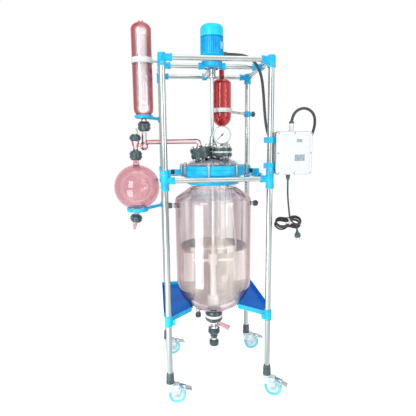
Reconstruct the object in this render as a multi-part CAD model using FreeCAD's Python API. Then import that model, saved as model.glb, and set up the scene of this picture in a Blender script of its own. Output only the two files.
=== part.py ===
import FreeCAD, Part
import math
import os

# Jacketed glass reactor on a wheeled tube frame. Millimetres, Z up. X points to the right, Y to the back.
# The origin lies on the floor, straight under the stirrer shaft.

Vector = FreeCAD.Vector

# Clearances and facets
running_gap = 0.08       # radial gap of a shaft in its bore
seat_gap = 0.3           # gap between round faces that seat on each other
sleeve_gap = 0.15        # radial gap of a clamp sleeve on its tube
dome_flat_count = 5      # straight steps that stand for one blown curve
bend_flat_count = 2      # straight steps that stand for one softened corner

# Frame of stainless tubes
post_spacing = 560.0     # between the post axes, left to right
frame_depth = 518.0      # between the post axes, front to back
front_setback = 195.0    # vessel axis behind the front posts
post_radius = 16.0
rail_radius = 13.0
top_rail_z = 1870.0
ring_rail_z = 1258.0
fitting_radius = 21.0    # sleeve of a cast fitting on a post
arm_radius = 17.5        # arm of a cast fitting that takes a rail
arm_reach = 52.0         # arm length from the post axis
corner_drop = 40.0       # how far a corner fitting reaches down its post
corner_rise = 23.0
tee_height = 104.0
mid_tee_length = 56.0

# Casters
wheel_radius = 50.0
wheel_width = 28.0
axle_radius = 6.0
caster_trail = 38.0
caster_height = 122.0    # floor to the underside of the socket
caster_stem_radius = 7.0
socket_height = 61.0
socket_top_radius = 20.0
socket_foot_radius = 24.0
socket_web = 28.0        # solid foot of the socket under the post
fork_plate = 3.0
pivot_radius = 4.0
fork_crown_radius = 24.0
fork_crown_height = 9.0
caster_turns = {"front_left": -3.0, "front_right": -30.0, "back_right": 0.0, "back_left": 12.0}

# Drive and stirrer
hub_radius = 53.0
hub_height = 26.0
hub_z = 1862.0
motor_radius = 60.0
motor_fin_depth = 3.5
motor_fin_count = 20
motor_neck_radius = 44.0
motor_neck_height = 40.0
motor_body_height = 90.0
motor_cap_height = 66.0
coupling_radius = 20.0
coupling_length = 54.0
motor_shaft_radius = 10.0
shaft_radius = 9.0
sheath_radius = 15.0
stirrer_hub_radius = 22.0
stirrer_hub_height = 74.0
stirrer_hub_rise = 87.0  # its foot above the start of the round bottom
stirrer_arm_rise = 111.0
stirrer_arm_radius = 9.0
blade_reach = (88.0, 142.0)
blade_height = 170.0
blade_drop = 14.0        # its foot under the start of the round bottom
blade_thickness = 9.0
stirrer_foot_radius = 27.0
stirrer_foot_height = 76.0
stirrer_foot_gap = 14.0  # above the pot's floor
seal_radius = 25.0
seal_tip_z = 1492.0
seal_shoulder_z = 1450.0

# Vessel and its jacket
vessel_radius = 220.0
glass_wall = 5.0
pot_radius = 206.0
pot_wall = 6.0
belly_z = 664.0          # where the round bottom starts
belly_depth = 209.0
pot_depth = 170.0
shoulder_z = 1138.0
pot_shoulder_z = 1122.0
neck_radius = 132.0
neck_foot_z = 1203.0     # where the jacket closes on the neck
flange_radius = 170.0
flange_thickness = 20.0
joint_z = 1306.0         # middle of the flange joint
gasket_thickness = 2.0
drain_neck_radius = 30.0
drain_neck_wall = 6.0
port_radius = 13.0
port_reach = 19.0        # nozzle length outside the jacket
low_port_drop = 28.0
port_cap_radius = 17.0
port_cap_length = 29.0
port_z = 1100.0
low_port_at = (-98.0, -20.0)

# Lid
lid_radius = 150.0
lid_rise = 54.0
lid_wall = 6.0
lid_flange = 15.0
centre_neck_radius = 24.0
centre_neck_top = 1392.0
wide_neck_radius = 30.0
wide_neck_wall = 5.0
narrow_neck_radius = 14.0
narrow_neck_wall = 3.0
left_neck_at = (-77.0, -68.0)
left_neck_lean = 10.0
right_neck_at = (41.0, -80.0)
funnel_neck_at = (70.0, 92.0)
probe_neck_at = (88.0, 25.0)
neck_top_z = 1400.0
neck_coupling_radius = 55.5
left_coupling_height = 57.0
right_ring_height = 17.0
ring_spacer = 10.0
small_coupling_radius = 26.0
small_coupling_height = 30.0
dip_tube_radius = 20.0
dip_tube_rise = 252.0    # its foot above the start of the round bottom
probe_radius = 5.0
probe_cap_height = 46.0   # above the neck
probe_foot_at = (144.0, 25.0)
probe_rise = 174.0       # its tip above the start of the round bottom

# Clamp ring round the flange joint
clamp_radius = 190.0
clamp_upper_height = 23.0
clamp_lower_height = 30.0
collar_drop = 54.0
collar_radius = 147.0
clamp_bolt_radius = 6.0
clamp_bolt_angles = (-150.0, -105.0, -57.0, -20.0, 40.0, 90.0, 140.0, 200.0)
clamp_bolt_head = 9.0
clamp_nut_height = 4.0
hexagon_radius = 11.0
collar_inset = 24.0
carrier_lug_reach = 218.0
carrier_lug_width = 44.0
carrier_bush_radius = 14.0
carrier_bush_length = 21.0
carrier_stud_radius = 6.0
carrier_half = 20.0      # half the length of the block on the rail
carrier_y = 30.0

# Dial gauge on the right neck
gauge_radius = 50.0
gauge_depth = 22.0
gauge_z = 1494.0
gauge_turn = 9.9         # degrees that the dial is turned to the left
gauge_recess = 6.0
gauge_rim = 4.5
needle_pin_radius = 2.0
needle_rest = 225.0      # where the needle lies, counted from the dial's right

# Drain valve
drain_coupling_radius = 52.0
drain_coupling_height = 68.0
drain_clearance = 3.0    # between the jacket's bottom and the coupling
drain_band_height = 16.0
drain_body_radius = 28.0
drain_body_drop = 46.0   # its foot under the coupling
drain_bonnet_radius = 35.0
drain_bonnet_height = 66.0
stem_radius = 8.0
stem_collar_radius = 13.0
handwheel_radius = 28.0
handwheel_height = 34.0
handwheel_gap = 15.0     # its top under the bonnet
drain_travel = 9.0
plug_radius = 21.0
outlet_radius = 12.0
outlet_reach = 94.0
outlet_fall = 42.0
outlet_root_rise = 28.0  # above the valve body's foot

# Belly trays
tray_drop = 164.0        # top face of the sheet under the start of the round bottom
tray_sheet = 4.0
tray_rim = 28.0
tray_upstand = 20.0
tray_overhang = 25.0     # past the post axes, outwards and to the back
tray_setback = 45.0      # its front end behind the front posts
tray_back_width = 100.0
tray_trim = 6.0
tray_trim_rise = 4.0
tray_trim_height = 14.0
tray_arc = (-20.0, 55.0)
tray_clamp_height = 60.0
tray_clamp_drop = 12.0   # its middle under the sheet's top

# Control box
box_gap = 23.0           # from the post axis to the box
box_width = 195.0
box_front = 45.0         # ahead of the post axis
box_depth = 120.0
box_z = (1281.0, 1507.0)
box_cover_depth = 30.0
box_corner = 12.0
box_clamp_heights = (1329.0, 1463.0)
box_clamp_height = 32.0
gland_radius = 11.0
gland_length = 30.0
top_gland_inset = 91.0   # from the box's left side
bottom_gland_inset = 78.0

# Cords
conduit_radius = 7.5
lead_radius = 4.5
hank_thickness = 26.0
hank_z = (985.0, 1045.0)
hank_width = 150.0
hank_tie = 24.0
plug_length = 38.0
plug_radius_wide = 17.0
pin_radius = 2.4
pin_length = 19.0
pin_spacing = 19.0
conduit_drop = [         # past the motor gland, seen from the stirrer axis
    (134, 0, 1936), (190, -20, 1925),
]
conduit_route = [        # down the right front post and over to the box, seen from that post's axis
    (-48, 133, 1882), (-28, 91, 1812), (-24, 65, 1730), (-21, 52, 1645), (-12, 60, 1562),
    (12, 85, 1490),
    (60, 98, 1432), (130, 100, 1410), (210, 99, 1420), (262, 91, 1475), (276, 71, 1545),
    (260, 49, 1604),
    (204, 27, 1634), (144, 7, 1620), (114, 0, 1576),
]
lead_route = [           # down from the lower gland to the hank, seen from the same axis
    (101, 0, 1251), (101, 0, 1212), (102, 1, 1172), (105, 1, 1132), (108, 0, 1094), (107, 0, 1060),
    (107, 0, 1028),
]
plug_lead_route = [(164, 0, 985), (164, 0, 976), (161, 0, 967)]

# Condenser, distillation head and receiver, left of the frame
condenser_at = (-384.0, 118.0)
condenser_radius = 57.0
condenser_z = (1618.0, 2131.0)
condenser_neck_radius = 17.0
core_foot_rise = 90.0     # the coil's foot above the lower joint
core_top_drop = 80.0      # and its top below the condenser's own
condenser_core_radius = 34.0
nipple_radius = 8.0
nipple_reach = 28.0
support_z = 1606.0
support_height = 18.0
support_radius = 53.0
support_bar_radius = 8.0
support_sleeve_height = 36.0
condenser_band_z = 1915.0
joint_clamp_radius = 36.0
joint_clamp_height = 56.0
upper_joint_z = 1552.0
head_bulb_radius = 27.0
head_bulb_z = 1441.0
take_off_arm_z = 1449.0
take_off_arm_radius = 8.0
take_off_knob_radius = 17.0
vapour_radius = 13.0
vapour_z = 1462.0
valve_at = (-438.0, 118.0)
valve_radius = 22.0
valve_z = (1420.0, 1506.0)
valve_clamp_z = 1486.0
flask_centre_z = 1199.0
flask_radius = 133.0
flask_neck_radius = 18.0
flask_clamp_z = 1385.0
flask_support_z = 1062.0
flask_support_radius = 64.0
outlet_clamp_z = 1012.0
outlet_tip_z = 945.0
outlet_lean = 12.0

# Dropping funnel behind the stirrer
funnel_radius = 55.0
funnel_z = (1566.0, 1822.0)
funnel_neck_radius = 15.0
funnel_mouth_z = 1902.0
funnel_stem_radius = 9.0
funnel_key_z = 1500.0
funnel_clamp_z = 1640.0
funnel_clamp_height = 24.0

# Derived places
half_spacing = post_spacing / 2
front_y = -front_setback
back_y = frame_depth - front_setback
post_foot_z = caster_height + socket_web
post_top_z = top_rail_z - corner_drop
posts_at = {
    "front_left": (-half_spacing, front_y), "front_right": (half_spacing, front_y),
    "back_right": (half_spacing, back_y), "back_left": (-half_spacing, back_y),
}
right_post = posts_at["front_right"]
bottom_z = belly_z - belly_depth
stirrer_hub_z = (belly_z + stirrer_hub_rise, belly_z + stirrer_hub_rise + stirrer_hub_height)
stirrer_arm_z = belly_z + stirrer_arm_rise
blade_z = (belly_z - blade_drop, belly_z - blade_drop + blade_height)
stirrer_foot_z = (belly_z - pot_depth + stirrer_foot_gap,
                  belly_z - pot_depth + stirrer_foot_gap + stirrer_foot_height)
dip_tube_foot = belly_z + dip_tube_rise
probe_foot = (*probe_foot_at, belly_z + probe_rise)
drain_coupling_z = (bottom_z - drain_clearance - drain_coupling_height, bottom_z - drain_clearance)
drain_body_foot = drain_coupling_z[0] - drain_body_drop
drain_bonnet_foot = drain_body_foot - drain_bonnet_height
handwheel_z = (drain_bonnet_foot - handwheel_gap - handwheel_height, drain_bonnet_foot - handwheel_gap)
outlet_root_z = drain_body_foot + outlet_root_rise
outlet_tip = (outlet_reach, 0.0, outlet_root_z - outlet_fall)
tray_z = belly_z - tray_drop
tray_outer_x = half_spacing + tray_overhang
tray_back_y = back_y + tray_overhang
tray_front_y = front_y + tray_setback
tray_clamp_z = tray_z - tray_clamp_drop
box_x = (half_spacing + box_gap, half_spacing + box_gap + box_width)
box_y = (front_y - box_front, front_y - box_front + box_depth)
top_gland_x = box_x[0] + top_gland_inset
bottom_gland_x = box_x[0] + bottom_gland_inset
motor_gland_z = hub_z + hub_height + motor_neck_height + 8
flange_top_z = joint_z - gasket_thickness / 2
flange_foot_z = flange_top_z - flange_thickness
lid_foot_z = joint_z + gasket_thickness / 2
lid_flange_top_z = lid_foot_z + lid_flange

nodes = {}


def add(name, *solids):
    nodes[name] = solids[0] if len(solids) == 1 else Part.makeCompound(list(solids))


def fused(first, *others):
    return first.multiFuse(list(others)).removeSplitter()


def rod(radius, start, end):
    run = Vector(*end) - Vector(*start)
    return Part.makeCylinder(radius, run.Length, Vector(*start), run)


def upright(radius, low, high, x=0.0, y=0.0):
    return rod(radius, (x, y, low), (x, y, high))


def sleeve(outer, inner, start, end):
    return rod(outer, start, end).cut(rod(inner, start, end))


def block(x, y, z):
    return Part.makeBox(x[1] - x[0], y[1] - y[0], z[1] - z[0], Vector(x[0], y[0], z[0]))


def plate(outline, low, high):
    corners = [Vector(x, y, low) for x, y in outline]
    return Part.Face(Part.makePolygon(corners + corners[:1])).extrude(Vector(0, 0, high - low))


def hexagon(x, y, low, high):
    turns = [math.radians(60 * i) for i in range(6)]
    return plate([(x + hexagon_radius * math.cos(t), y + hexagon_radius * math.sin(t)) for t in turns],
                 low, high)


def turned(profile, x=0.0, y=0.0):
    """A closed outline of (radius, height) points, turned about an upright axis."""
    corners = [Vector(r, 0, z) for r, z in profile]
    shape = Part.Face(Part.makePolygon(corners + corners[:1])).revolve(Vector(), Vector(0, 0, 1), 360)
    shape.translate(Vector(x, y, 0))
    return shape


def turned_on(profile, start, direction):
    """The same outline, turned about the axis that leaves start along direction."""
    shape = turned(profile)
    shape.Placement = FreeCAD.Placement(Vector(*start), FreeCAD.Rotation(Vector(0, 0, 1),
                                                                         Vector(*direction)))
    return shape


def mirrored(shape):
    return shape.mirror(Vector(), Vector(1, 0, 0))


def placed(shape, at, turn=0.0):
    moved = shape.copy()
    spot = FreeCAD.Placement(Vector(*at), FreeCAD.Rotation(Vector(0, 0, 1), turn))
    moved.Placement = spot.multiply(moved.Placement)
    return moved


def dome(radius, base_z, rise, end_radius, flats=dome_flat_count):
    """Points from (radius, base_z) along a quarter ellipse to end_radius; rise is negative for a bottom."""
    last = math.acos(end_radius / radius)
    turns = [last * i / flats for i in range(flats + 1)]
    return [(radius * math.cos(t), base_z + rise * math.sin(t)) for t in turns]


def softened(corner, before, after, radius, flats=bend_flat_count):
    """The points of an arc that rounds corner, where the runs before and after it meet."""
    ax, az = before[0] - corner[0], before[1] - corner[1]
    bx, bz = after[0] - corner[0], after[1] - corner[1]
    la, lb = math.hypot(ax, az), math.hypot(bx, bz)
    ax, az, bx, bz = ax / la, az / la, bx / lb, bz / lb
    half = math.acos(ax * bx + az * bz) / 2
    reach = radius / math.tan(half)
    mx, mz = ax + bx, az + bz
    ml = math.hypot(mx, mz)
    centre = (corner[0] + mx / ml * radius / math.sin(half),
              corner[1] + mz / ml * radius / math.sin(half))
    first = (corner[0] + ax * reach, corner[1] + az * reach)
    start = math.atan2(first[1] - centre[1], first[0] - centre[0])
    last = (corner[0] + bx * reach, corner[1] + bz * reach)
    sweep = math.atan2(last[1] - centre[1], last[0] - centre[0]) - start
    sweep = (sweep + math.pi) % (2 * math.pi) - math.pi
    turns = [start + sweep * i / flats for i in range(flats + 1)]
    return [(centre[0] + radius * math.cos(t), centre[1] + radius * math.sin(t)) for t in turns]


def route_radii(points):
    """Each corner's arc radius, as large as its two runs allow."""
    radii = []
    for a, b, c in zip(points, points[1:], points[2:]):
        u, v = Vector(*b) - Vector(*a), Vector(*c) - Vector(*b)
        radii.append(0.45 * min(u.Length, v.Length) / math.tan(u.getAngle(v) / 2))
    return radii


def pipe(points, radius, name=None):
    """A round bar along straight runs that are joined by tangent arcs."""
    radii = route_radii(points)
    edges, last = [], Vector(*points[0])
    for a, b, c, r in zip(points, points[1:], points[2:], radii):
        a, b, c = Vector(*a), Vector(*b), Vector(*c)
        u, v = (b - a).normalize(), (c - b).normalize()
        reach = r * math.tan(u.getAngle(v) / 2)
        start, end = b - u * reach, b + v * reach
        inward = (v - u).normalize()
        middle = b + inward * (r / math.cos(u.getAngle(v) / 2) - r)
        edges += [Part.LineSegment(last, start).toShape(), Part.Arc(start, middle, end).toShape()]
        last = end
    edges.append(Part.LineSegment(last, Vector(*points[-1])).toShape())
    path = Part.Wire(edges)
    heading = Vector(*points[1]) - Vector(*points[0])
    section = Part.Wire(Part.makeCircle(radius, Vector(*points[0]), heading))
    bar = path.makePipeShell([section], True, False)
    if name:
        ideal = math.pi * radius ** 2 * path.Length
        print(f"{name}: length {path.Length:.0f}, volume share {bar.Volume / ideal:.3f},",
              "radii", " ".join(f"{r:.0f}" for r in radii))
    return bar


def belly_radius(z, radius=vessel_radius, depth=belly_depth):
    return radius * math.sqrt(1 - ((belly_z - z) / depth) ** 2)


def make_frame():
    add("posts", *[upright(post_radius, post_foot_z, post_top_z, x, y) for x, y in posts_at.values()])

    x_end, y_front, y_back = half_spacing - arm_reach, front_y + arm_reach, back_y - arm_reach
    top = [rod(rail_radius, (-x_end, y, top_rail_z), (x_end, y, top_rail_z)) for y in (front_y, back_y)]
    top += [rod(rail_radius, (x, y_front, top_rail_z), (x, y_back, top_rail_z)) for x in (-half_spacing,
                                                                                          half_spacing)]
    hub_reach = hub_radius + 22
    top += [rod(rail_radius, (s * hub_reach, 0, top_rail_z), (s * x_end, 0, top_rail_z)) for s in (-1,
                                                                                                   1)]
    top.append(rod(rail_radius, (0, hub_reach, top_rail_z), (0, back_y - rail_radius - 9, top_rail_z)))

    ring = [rod(rail_radius, (-x_end, y, ring_rail_z), (x_end, y, ring_rail_z)) for y in (front_y,
                                                                                          back_y)]
    ring += [rod(rail_radius, (x, y_front, ring_rail_z), (x, y_back,
                                                          ring_rail_z)) for x in (-half_spacing,
                                                                                  half_spacing)]
    add("frame_rails", *top, *ring)

    fittings = []
    for x, y in posts_at.values():
        inward_x, inward_y = math.copysign(arm_reach, -x), math.copysign(arm_reach, -y)
        cap = [(0, post_top_z), (fitting_radius, post_top_z),
               (fitting_radius, top_rail_z + corner_rise - 8),
               (fitting_radius - 9, top_rail_z + corner_rise), (0, top_rail_z + corner_rise)]
        fittings.append(fused(turned(cap, x, y), *arms(x, y, top_rail_z, inward_x, inward_y)))
        body = upright(fitting_radius, ring_rail_z - tee_height / 2, ring_rail_z + tee_height / 2, x, y)
        tee = fused(body, *arms(x, y, ring_rail_z, inward_x, inward_y))
        fittings.append(tee.cut(upright(post_radius + sleeve_gap, post_foot_z, post_top_z, x, y)))
    for x in (-half_spacing, half_spacing):
        inward = math.copysign(arm_reach, -x)
        half = mid_tee_length / 2
        tee = fused(rod(rail_radius + 6, (x, -half, top_rail_z), (x, half, top_rail_z)),
                    rod(arm_radius, (x, 0, top_rail_z), (x + inward, 0, top_rail_z)))
        fittings.append(tee.cut(rod(rail_radius + sleeve_gap, (x, -half, top_rail_z),
                                    (x, half, top_rail_z))))
    add("frame_fittings", *fittings, *post_clamps())


def arms(x, y, z, inward_x, inward_y):
    return (rod(arm_radius, (x, y, z), (x + inward_x, y, z)),
            rod(arm_radius, (x, y, z), (x, y + inward_y, z)))


def make_drive():
    """The cast mount between the mid rails, the finned motor on it and the coupling below."""
    bore = upright(motor_shaft_radius + running_gap, top_rail_z - arm_radius - 1,
                   hub_z + hub_height + 1)
    reach = hub_radius + 22
    hub = fused(upright(hub_radius, hub_z, hub_z + hub_height),
                rod(arm_radius, (-reach, 0, top_rail_z), (reach, 0, top_rail_z)),
                rod(arm_radius, (0, 0, top_rail_z), (0, reach, top_rail_z)))
    tie_y = back_y - rail_radius - 9
    clamp = fused(rod(rail_radius + 8, (-15, back_y, top_rail_z), (15, back_y, top_rail_z)),
                  rod(arm_radius, (0, back_y, top_rail_z), (0, tie_y, top_rail_z)))
    clamp = clamp.cut(rod(rail_radius + sleeve_gap, (-20, back_y, top_rail_z),
                          (20, back_y, top_rail_z)))
    add("motor_mount", hub.cut(bore), clamp)

    neck_z = hub_z + hub_height
    body_z = neck_z + motor_neck_height
    cap_z = body_z + motor_body_height
    profile = [(0, neck_z), (hub_radius + 4, neck_z), (hub_radius + 4, neck_z + 10),
               (motor_neck_radius, neck_z + 12),
               (motor_neck_radius, body_z - 8), (motor_radius, body_z), (motor_radius, cap_z),
               (0, cap_z)]
    fins = []
    for i in range(motor_fin_count):
        angle = 360.0 * (i + 0.5) / motor_fin_count
        fin = block((motor_radius - 3, motor_radius + motor_fin_depth), (-1.6, 1.6),
                    (body_z + 4, cap_z - 4))
        fins.append(placed(fin, (0, 0, 0), angle))
    entry = rod(gland_radius + 2, (motor_radius - 20, 0, motor_gland_z),
                (motor_radius + 6, 0, motor_gland_z))
    add("motor_housing", fused(turned(profile), entry, *fins))
    top_z = cap_z + motor_cap_height
    rim = motor_radius + motor_fin_depth
    bend = softened((rim, top_z), (rim, cap_z), (0, top_z), 24)
    add("motor_cap", turned([(0, cap_z), (rim, cap_z)] + bend + [(0, top_z)]))

    stub_z = neck_z - seat_gap
    head_z = top_rail_z - arm_radius - seat_gap
    add("drive_coupling", turned([(0, hub_z - coupling_length),
                                  (coupling_radius, hub_z - coupling_length),
                                  (coupling_radius, head_z), (motor_shaft_radius, head_z),
                                  (motor_shaft_radius, stub_z), (0, stub_z)]))


def make_stirrer():
    add("stirrer_shaft", upright(shaft_radius, stirrer_hub_z[1], hub_z - coupling_length))
    low, high = stirrer_hub_z
    foot_low, foot_high = stirrer_foot_z
    spine = turned([(0, foot_low), (stirrer_foot_radius - 8, foot_low),
                    (stirrer_foot_radius, foot_low + 8),
                    (stirrer_foot_radius, foot_high), (sheath_radius, foot_high), (sheath_radius, low),
                    (stirrer_hub_radius, low), (stirrer_hub_radius, high), (0, high)])
    cross = rod(stirrer_arm_radius, (-blade_reach[0] - 6, 0, stirrer_arm_z),
                (blade_reach[0] + 6, 0, stirrer_arm_z))
    blade = block(blade_reach, (-blade_thickness / 2, blade_thickness / 2), blade_z)
    add("stirrer_paddle", fused(spine, cross, blade, placed(blade, (0, 0, 0), 180)))

    bore = shaft_radius + running_gap
    add("shaft_seal", turned([(bore, centre_neck_top), (seal_radius + 5, centre_neck_top),
                              (seal_radius + 5, centre_neck_top + 14),
                              (seal_radius, centre_neck_top + 16),
                              (seal_radius, seal_shoulder_z), (shaft_radius + 4, seal_tip_z),
                              (bore, seal_tip_z)]))


def lid_height(r):
    return lid_flange_top_z + lid_rise * math.sqrt(1 - (r / lid_radius) ** 2)


def left_neck_point(along):
    lean = math.radians(left_neck_lean)
    base = Vector(left_neck_at[0], left_neck_at[1], neck_top_z)
    return base + Vector(-math.sin(lean), 0, math.cos(lean)) * along


def make_lid():
    outer = dome(lid_radius, lid_flange_top_z, lid_rise, centre_neck_radius, 4)
    inner = dome(lid_radius - lid_wall, lid_flange_top_z, lid_rise - lid_wall,
                 centre_neck_radius - lid_wall, 4)
    inner_low = (lid_radius - lid_wall, lid_foot_z)
    profile = [(flange_radius, lid_foot_z), (flange_radius, lid_flange_top_z)] + outer
    profile += [(centre_neck_radius, centre_neck_top), (centre_neck_radius - lid_wall, centre_neck_top)]
    profile += inner[::-1] + [inner_low]
    down = -48
    wide = [((left_neck_point(down)), left_neck_point(0)),
            (Vector(*right_neck_at, neck_top_z + down), Vector(*right_neck_at, neck_top_z))]
    narrow = [(Vector(*at, lid_height(math.hypot(*at)) - 10), Vector(*at, neck_top_z))
              for at in (funnel_neck_at, probe_neck_at)]
    stubs = [rod(wide_neck_radius, a, b) for a, b in wide] + [rod(narrow_neck_radius, a, b) for a,
                                                              b in narrow]
    bores = [rod(wide_neck_radius - wide_neck_wall, a - (b - a), b) for a, b in wide]
    bores += [rod(narrow_neck_radius - narrow_neck_wall, a - (b - a), b) for a, b in narrow]
    lid = fused(turned(profile), *stubs)
    inside = turned(inner[::-1] + [inner_low, (0, lid_foot_z), (0, inner[-1][1])])
    add("glass_lid", lid.cut(inside).cut(Part.makeCompound(bores)))

    bore = wide_neck_radius + seat_gap
    half = left_coupling_height / 2
    left = sleeve(neck_coupling_radius, bore, left_neck_point(-half), left_neck_point(half))
    x, y = right_neck_at
    foot = neck_top_z - right_ring_height - ring_spacer / 2 + 2
    rings = []
    for low in (foot, foot + right_ring_height + ring_spacer):
        rings.append(sleeve(neck_coupling_radius, bore, (x, y, low), (x, y, low + right_ring_height)))
    bore = narrow_neck_radius + seat_gap
    for x, y in (funnel_neck_at, probe_neck_at):
        low = neck_top_z - small_coupling_height / 2
        rings.append(sleeve(small_coupling_radius, bore, (x, y, low),
                            (x, y, low + small_coupling_height)))
    add("neck_couplings", left, *rings, *port_caps())
    add("joint_clamps", *joint_clamps())

    x, y = right_neck_at
    low = foot + right_ring_height
    spacer = sleeve(neck_coupling_radius - 7, wide_neck_radius + seat_gap, (x, y, low),
                    (x, y, low + ring_spacer))
    gasket = sleeve(flange_radius, lid_radius - lid_wall, (0, 0, flange_top_z), (0, 0, lid_foot_z))
    middle = sum(drain_coupling_z) / 2
    band = sleeve(drain_coupling_radius, drain_flange_radius() + seat_gap,
                  (0, 0, middle - drain_band_height / 2), (0, 0, middle + drain_band_height / 2))

    top = gauge_foot_z()
    wide_bore = wide_neck_radius - wide_neck_wall
    dip_top = neck_top_z + 30
    stopper = turned([(dip_tube_radius + seat_gap, neck_top_z - 20),
                      (wide_bore - seat_gap, neck_top_z - 20),
                      (wide_bore - seat_gap, neck_top_z), (wide_neck_radius, neck_top_z),
                      (wide_neck_radius, top),
                      (0, top), (0, dip_top), (dip_tube_radius + seat_gap, dip_top)], *right_neck_at)
    x, y = funnel_neck_at
    low = funnel_clamp_z - funnel_clamp_height / 2
    funnel_ring = sleeve(funnel_radius + 7, funnel_radius + seat_gap, (x, y, low),
                         (x, y, low + funnel_clamp_height))
    x, y = condenser_at
    condenser_ring = sleeve(condenser_radius + 4, condenser_radius + seat_gap,
                            (x, y, condenser_band_z - 15),
                            (x, y, condenser_band_z + 15))
    add("ptfe_fittings", spacer, band, stopper, funnel_ring, condenser_ring)
    add("flange_gasket", gasket)
    add("dip_tube", sleeve(dip_tube_radius, dip_tube_radius - 4,
                           (*right_neck_at, dip_tube_foot), (*right_neck_at, dip_top - seat_gap)))

    x, y = probe_neck_at
    narrow_bore = narrow_neck_radius - narrow_neck_wall
    head = fused(rod(probe_radius, probe_foot, (x, y, neck_top_z - 4)),
                 turned([(0, neck_top_z - 12), (narrow_bore - seat_gap, neck_top_z - 12),
                         (narrow_bore - seat_gap, neck_top_z + 15),
                         (small_coupling_radius - 4, neck_top_z + 15),
                         (small_coupling_radius - 8, neck_top_z + probe_cap_height), (0, neck_top_z + probe_cap_height)], x, y))
    add("temperature_probe", head)


def gauge_foot_z():
    return neck_top_z + 34


def drain_flange_radius():
    return drain_neck_radius + 12


def make_gauge():
    x, y = right_neck_at
    turn = math.radians(gauge_turn)
    facing = Vector(-math.sin(turn), -math.cos(turn), 0)
    back = Vector(x, y, gauge_z) - facing * (gauge_depth / 2)
    rim = gauge_radius - gauge_rim
    dial = gauge_depth - gauge_recess
    case = turned_on([(0, 0), (gauge_radius, 0), (gauge_radius, gauge_depth), (rim, gauge_depth),
                      (rim, dial),
                      (needle_pin_radius, dial), (needle_pin_radius, dial + 4), (0, dial + 4)], back,
                      facing)
    stem = upright(8, gauge_foot_z(), gauge_z - gauge_radius + 4, x, y)
    add("gauge_case", fused(case, stem))

    pin = needle_pin_radius + running_gap
    hub = sleeve(5, pin, (0, 0, dial + 0.6), (0, 0, dial + 3))
    pointer = plate([(-4, 2.2), (-4, -2.2), (12, -2.2), (12, 2.2)], dial + 1, dial + 2.4)
    blade = plate([(4, 2.0), (4, -2.0), (rim - 8, -0.5), (rim - 8, 0.5)], dial + 1, dial + 2.4)
    eye = upright(pin, dial, dial + 4)
    pointer = fused(hub, blade.cut(eye), placed(pointer, (-14, 0, 0)).cut(eye))
    pointer.Placement = FreeCAD.Placement(back, FreeCAD.Rotation(Vector(0, 0, 1), facing)).multiply(
        FreeCAD.Placement(Vector(), FreeCAD.Rotation(Vector(0, 0, 1), needle_rest - gauge_turn)))
    add("gauge_needle", pointer)


def make_clamp_ring():
    """Two cast half rings that pull the lid flange onto the vessel flange, carried by the side rails."""
    hold = flange_radius + seat_gap
    top_z, foot_z = joint_z + clamp_upper_height, joint_z - clamp_lower_height
    upper = turned([(hold, joint_z), (clamp_radius, joint_z), (clamp_radius, top_z),
                    (lid_radius + 5, top_z),
                    (lid_radius + 5, lid_flange_top_z), (hold, lid_flange_top_z)])
    bolts = []
    cuts = []
    for angle in clamp_bolt_angles:
        x = (clamp_radius + 3) * math.cos(math.radians(angle))
        y = (clamp_radius + 3) * math.sin(math.radians(angle))
        cuts.append(upright(clamp_bolt_radius + sleeve_gap, foot_z - 1, top_z + 1, x, y))
        bolts.append(fused(upright(clamp_bolt_radius, foot_z, top_z, x, y),
                           hexagon(x, y, foot_z - clamp_nut_height, foot_z),
                           hexagon(x, y, top_z, top_z + clamp_bolt_head)))
    cuts = Part.makeCompound(cuts)
    add("clamp_ring_upper", upper.cut(cuts))
    lower = turned([(neck_radius + 4, foot_z - collar_drop), (collar_radius, foot_z - collar_drop),
                    (clamp_radius - collar_inset, foot_z), (clamp_radius, foot_z),
                    (clamp_radius, joint_z), (hold, joint_z),
                    (hold, flange_foot_z), (neck_radius + 4, flange_foot_z)])
    half = carrier_lug_width / 2
    lug = block((clamp_radius - 14, carrier_lug_reach), (carrier_y - half, carrier_y + half),
                (foot_z, joint_z - 1))
    add("clamp_ring_lower", fused(lower, lug, mirrored(lug)).cut(cuts))
    add("clamp_bolts", *bolts)

    carrier_z = foot_z + 15
    bush_start = carrier_lug_reach
    bush_end = bush_start + carrier_bush_length
    pad = bush_end
    grip = rail_radius + 8
    carrier = fused(rod(grip, (half_spacing, carrier_y - carrier_half, ring_rail_z),
                        (half_spacing, carrier_y + carrier_half, ring_rail_z)),
                    block((pad, half_spacing), (carrier_y - 13, carrier_y + 13),
                          (ring_rail_z, carrier_z + 13)),
                    rod(carrier_stud_radius, (pad, carrier_y, carrier_z),
                        (carrier_lug_reach, carrier_y, carrier_z)))
    rail = rod(rail_radius + sleeve_gap, (half_spacing, carrier_y - 1.5 * carrier_half, ring_rail_z),
               (half_spacing, carrier_y + 1.5 * carrier_half, ring_rail_z))
    carrier = carrier.cut(rail)
    add("ring_carriers", carrier, mirrored(carrier))
    bush = sleeve(carrier_bush_radius, carrier_stud_radius + sleeve_gap,
                  (bush_start, carrier_y, carrier_z),
                  (bush_end, carrier_y, carrier_z))
    add("carrier_bushes", bush, mirrored(bush))


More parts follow.
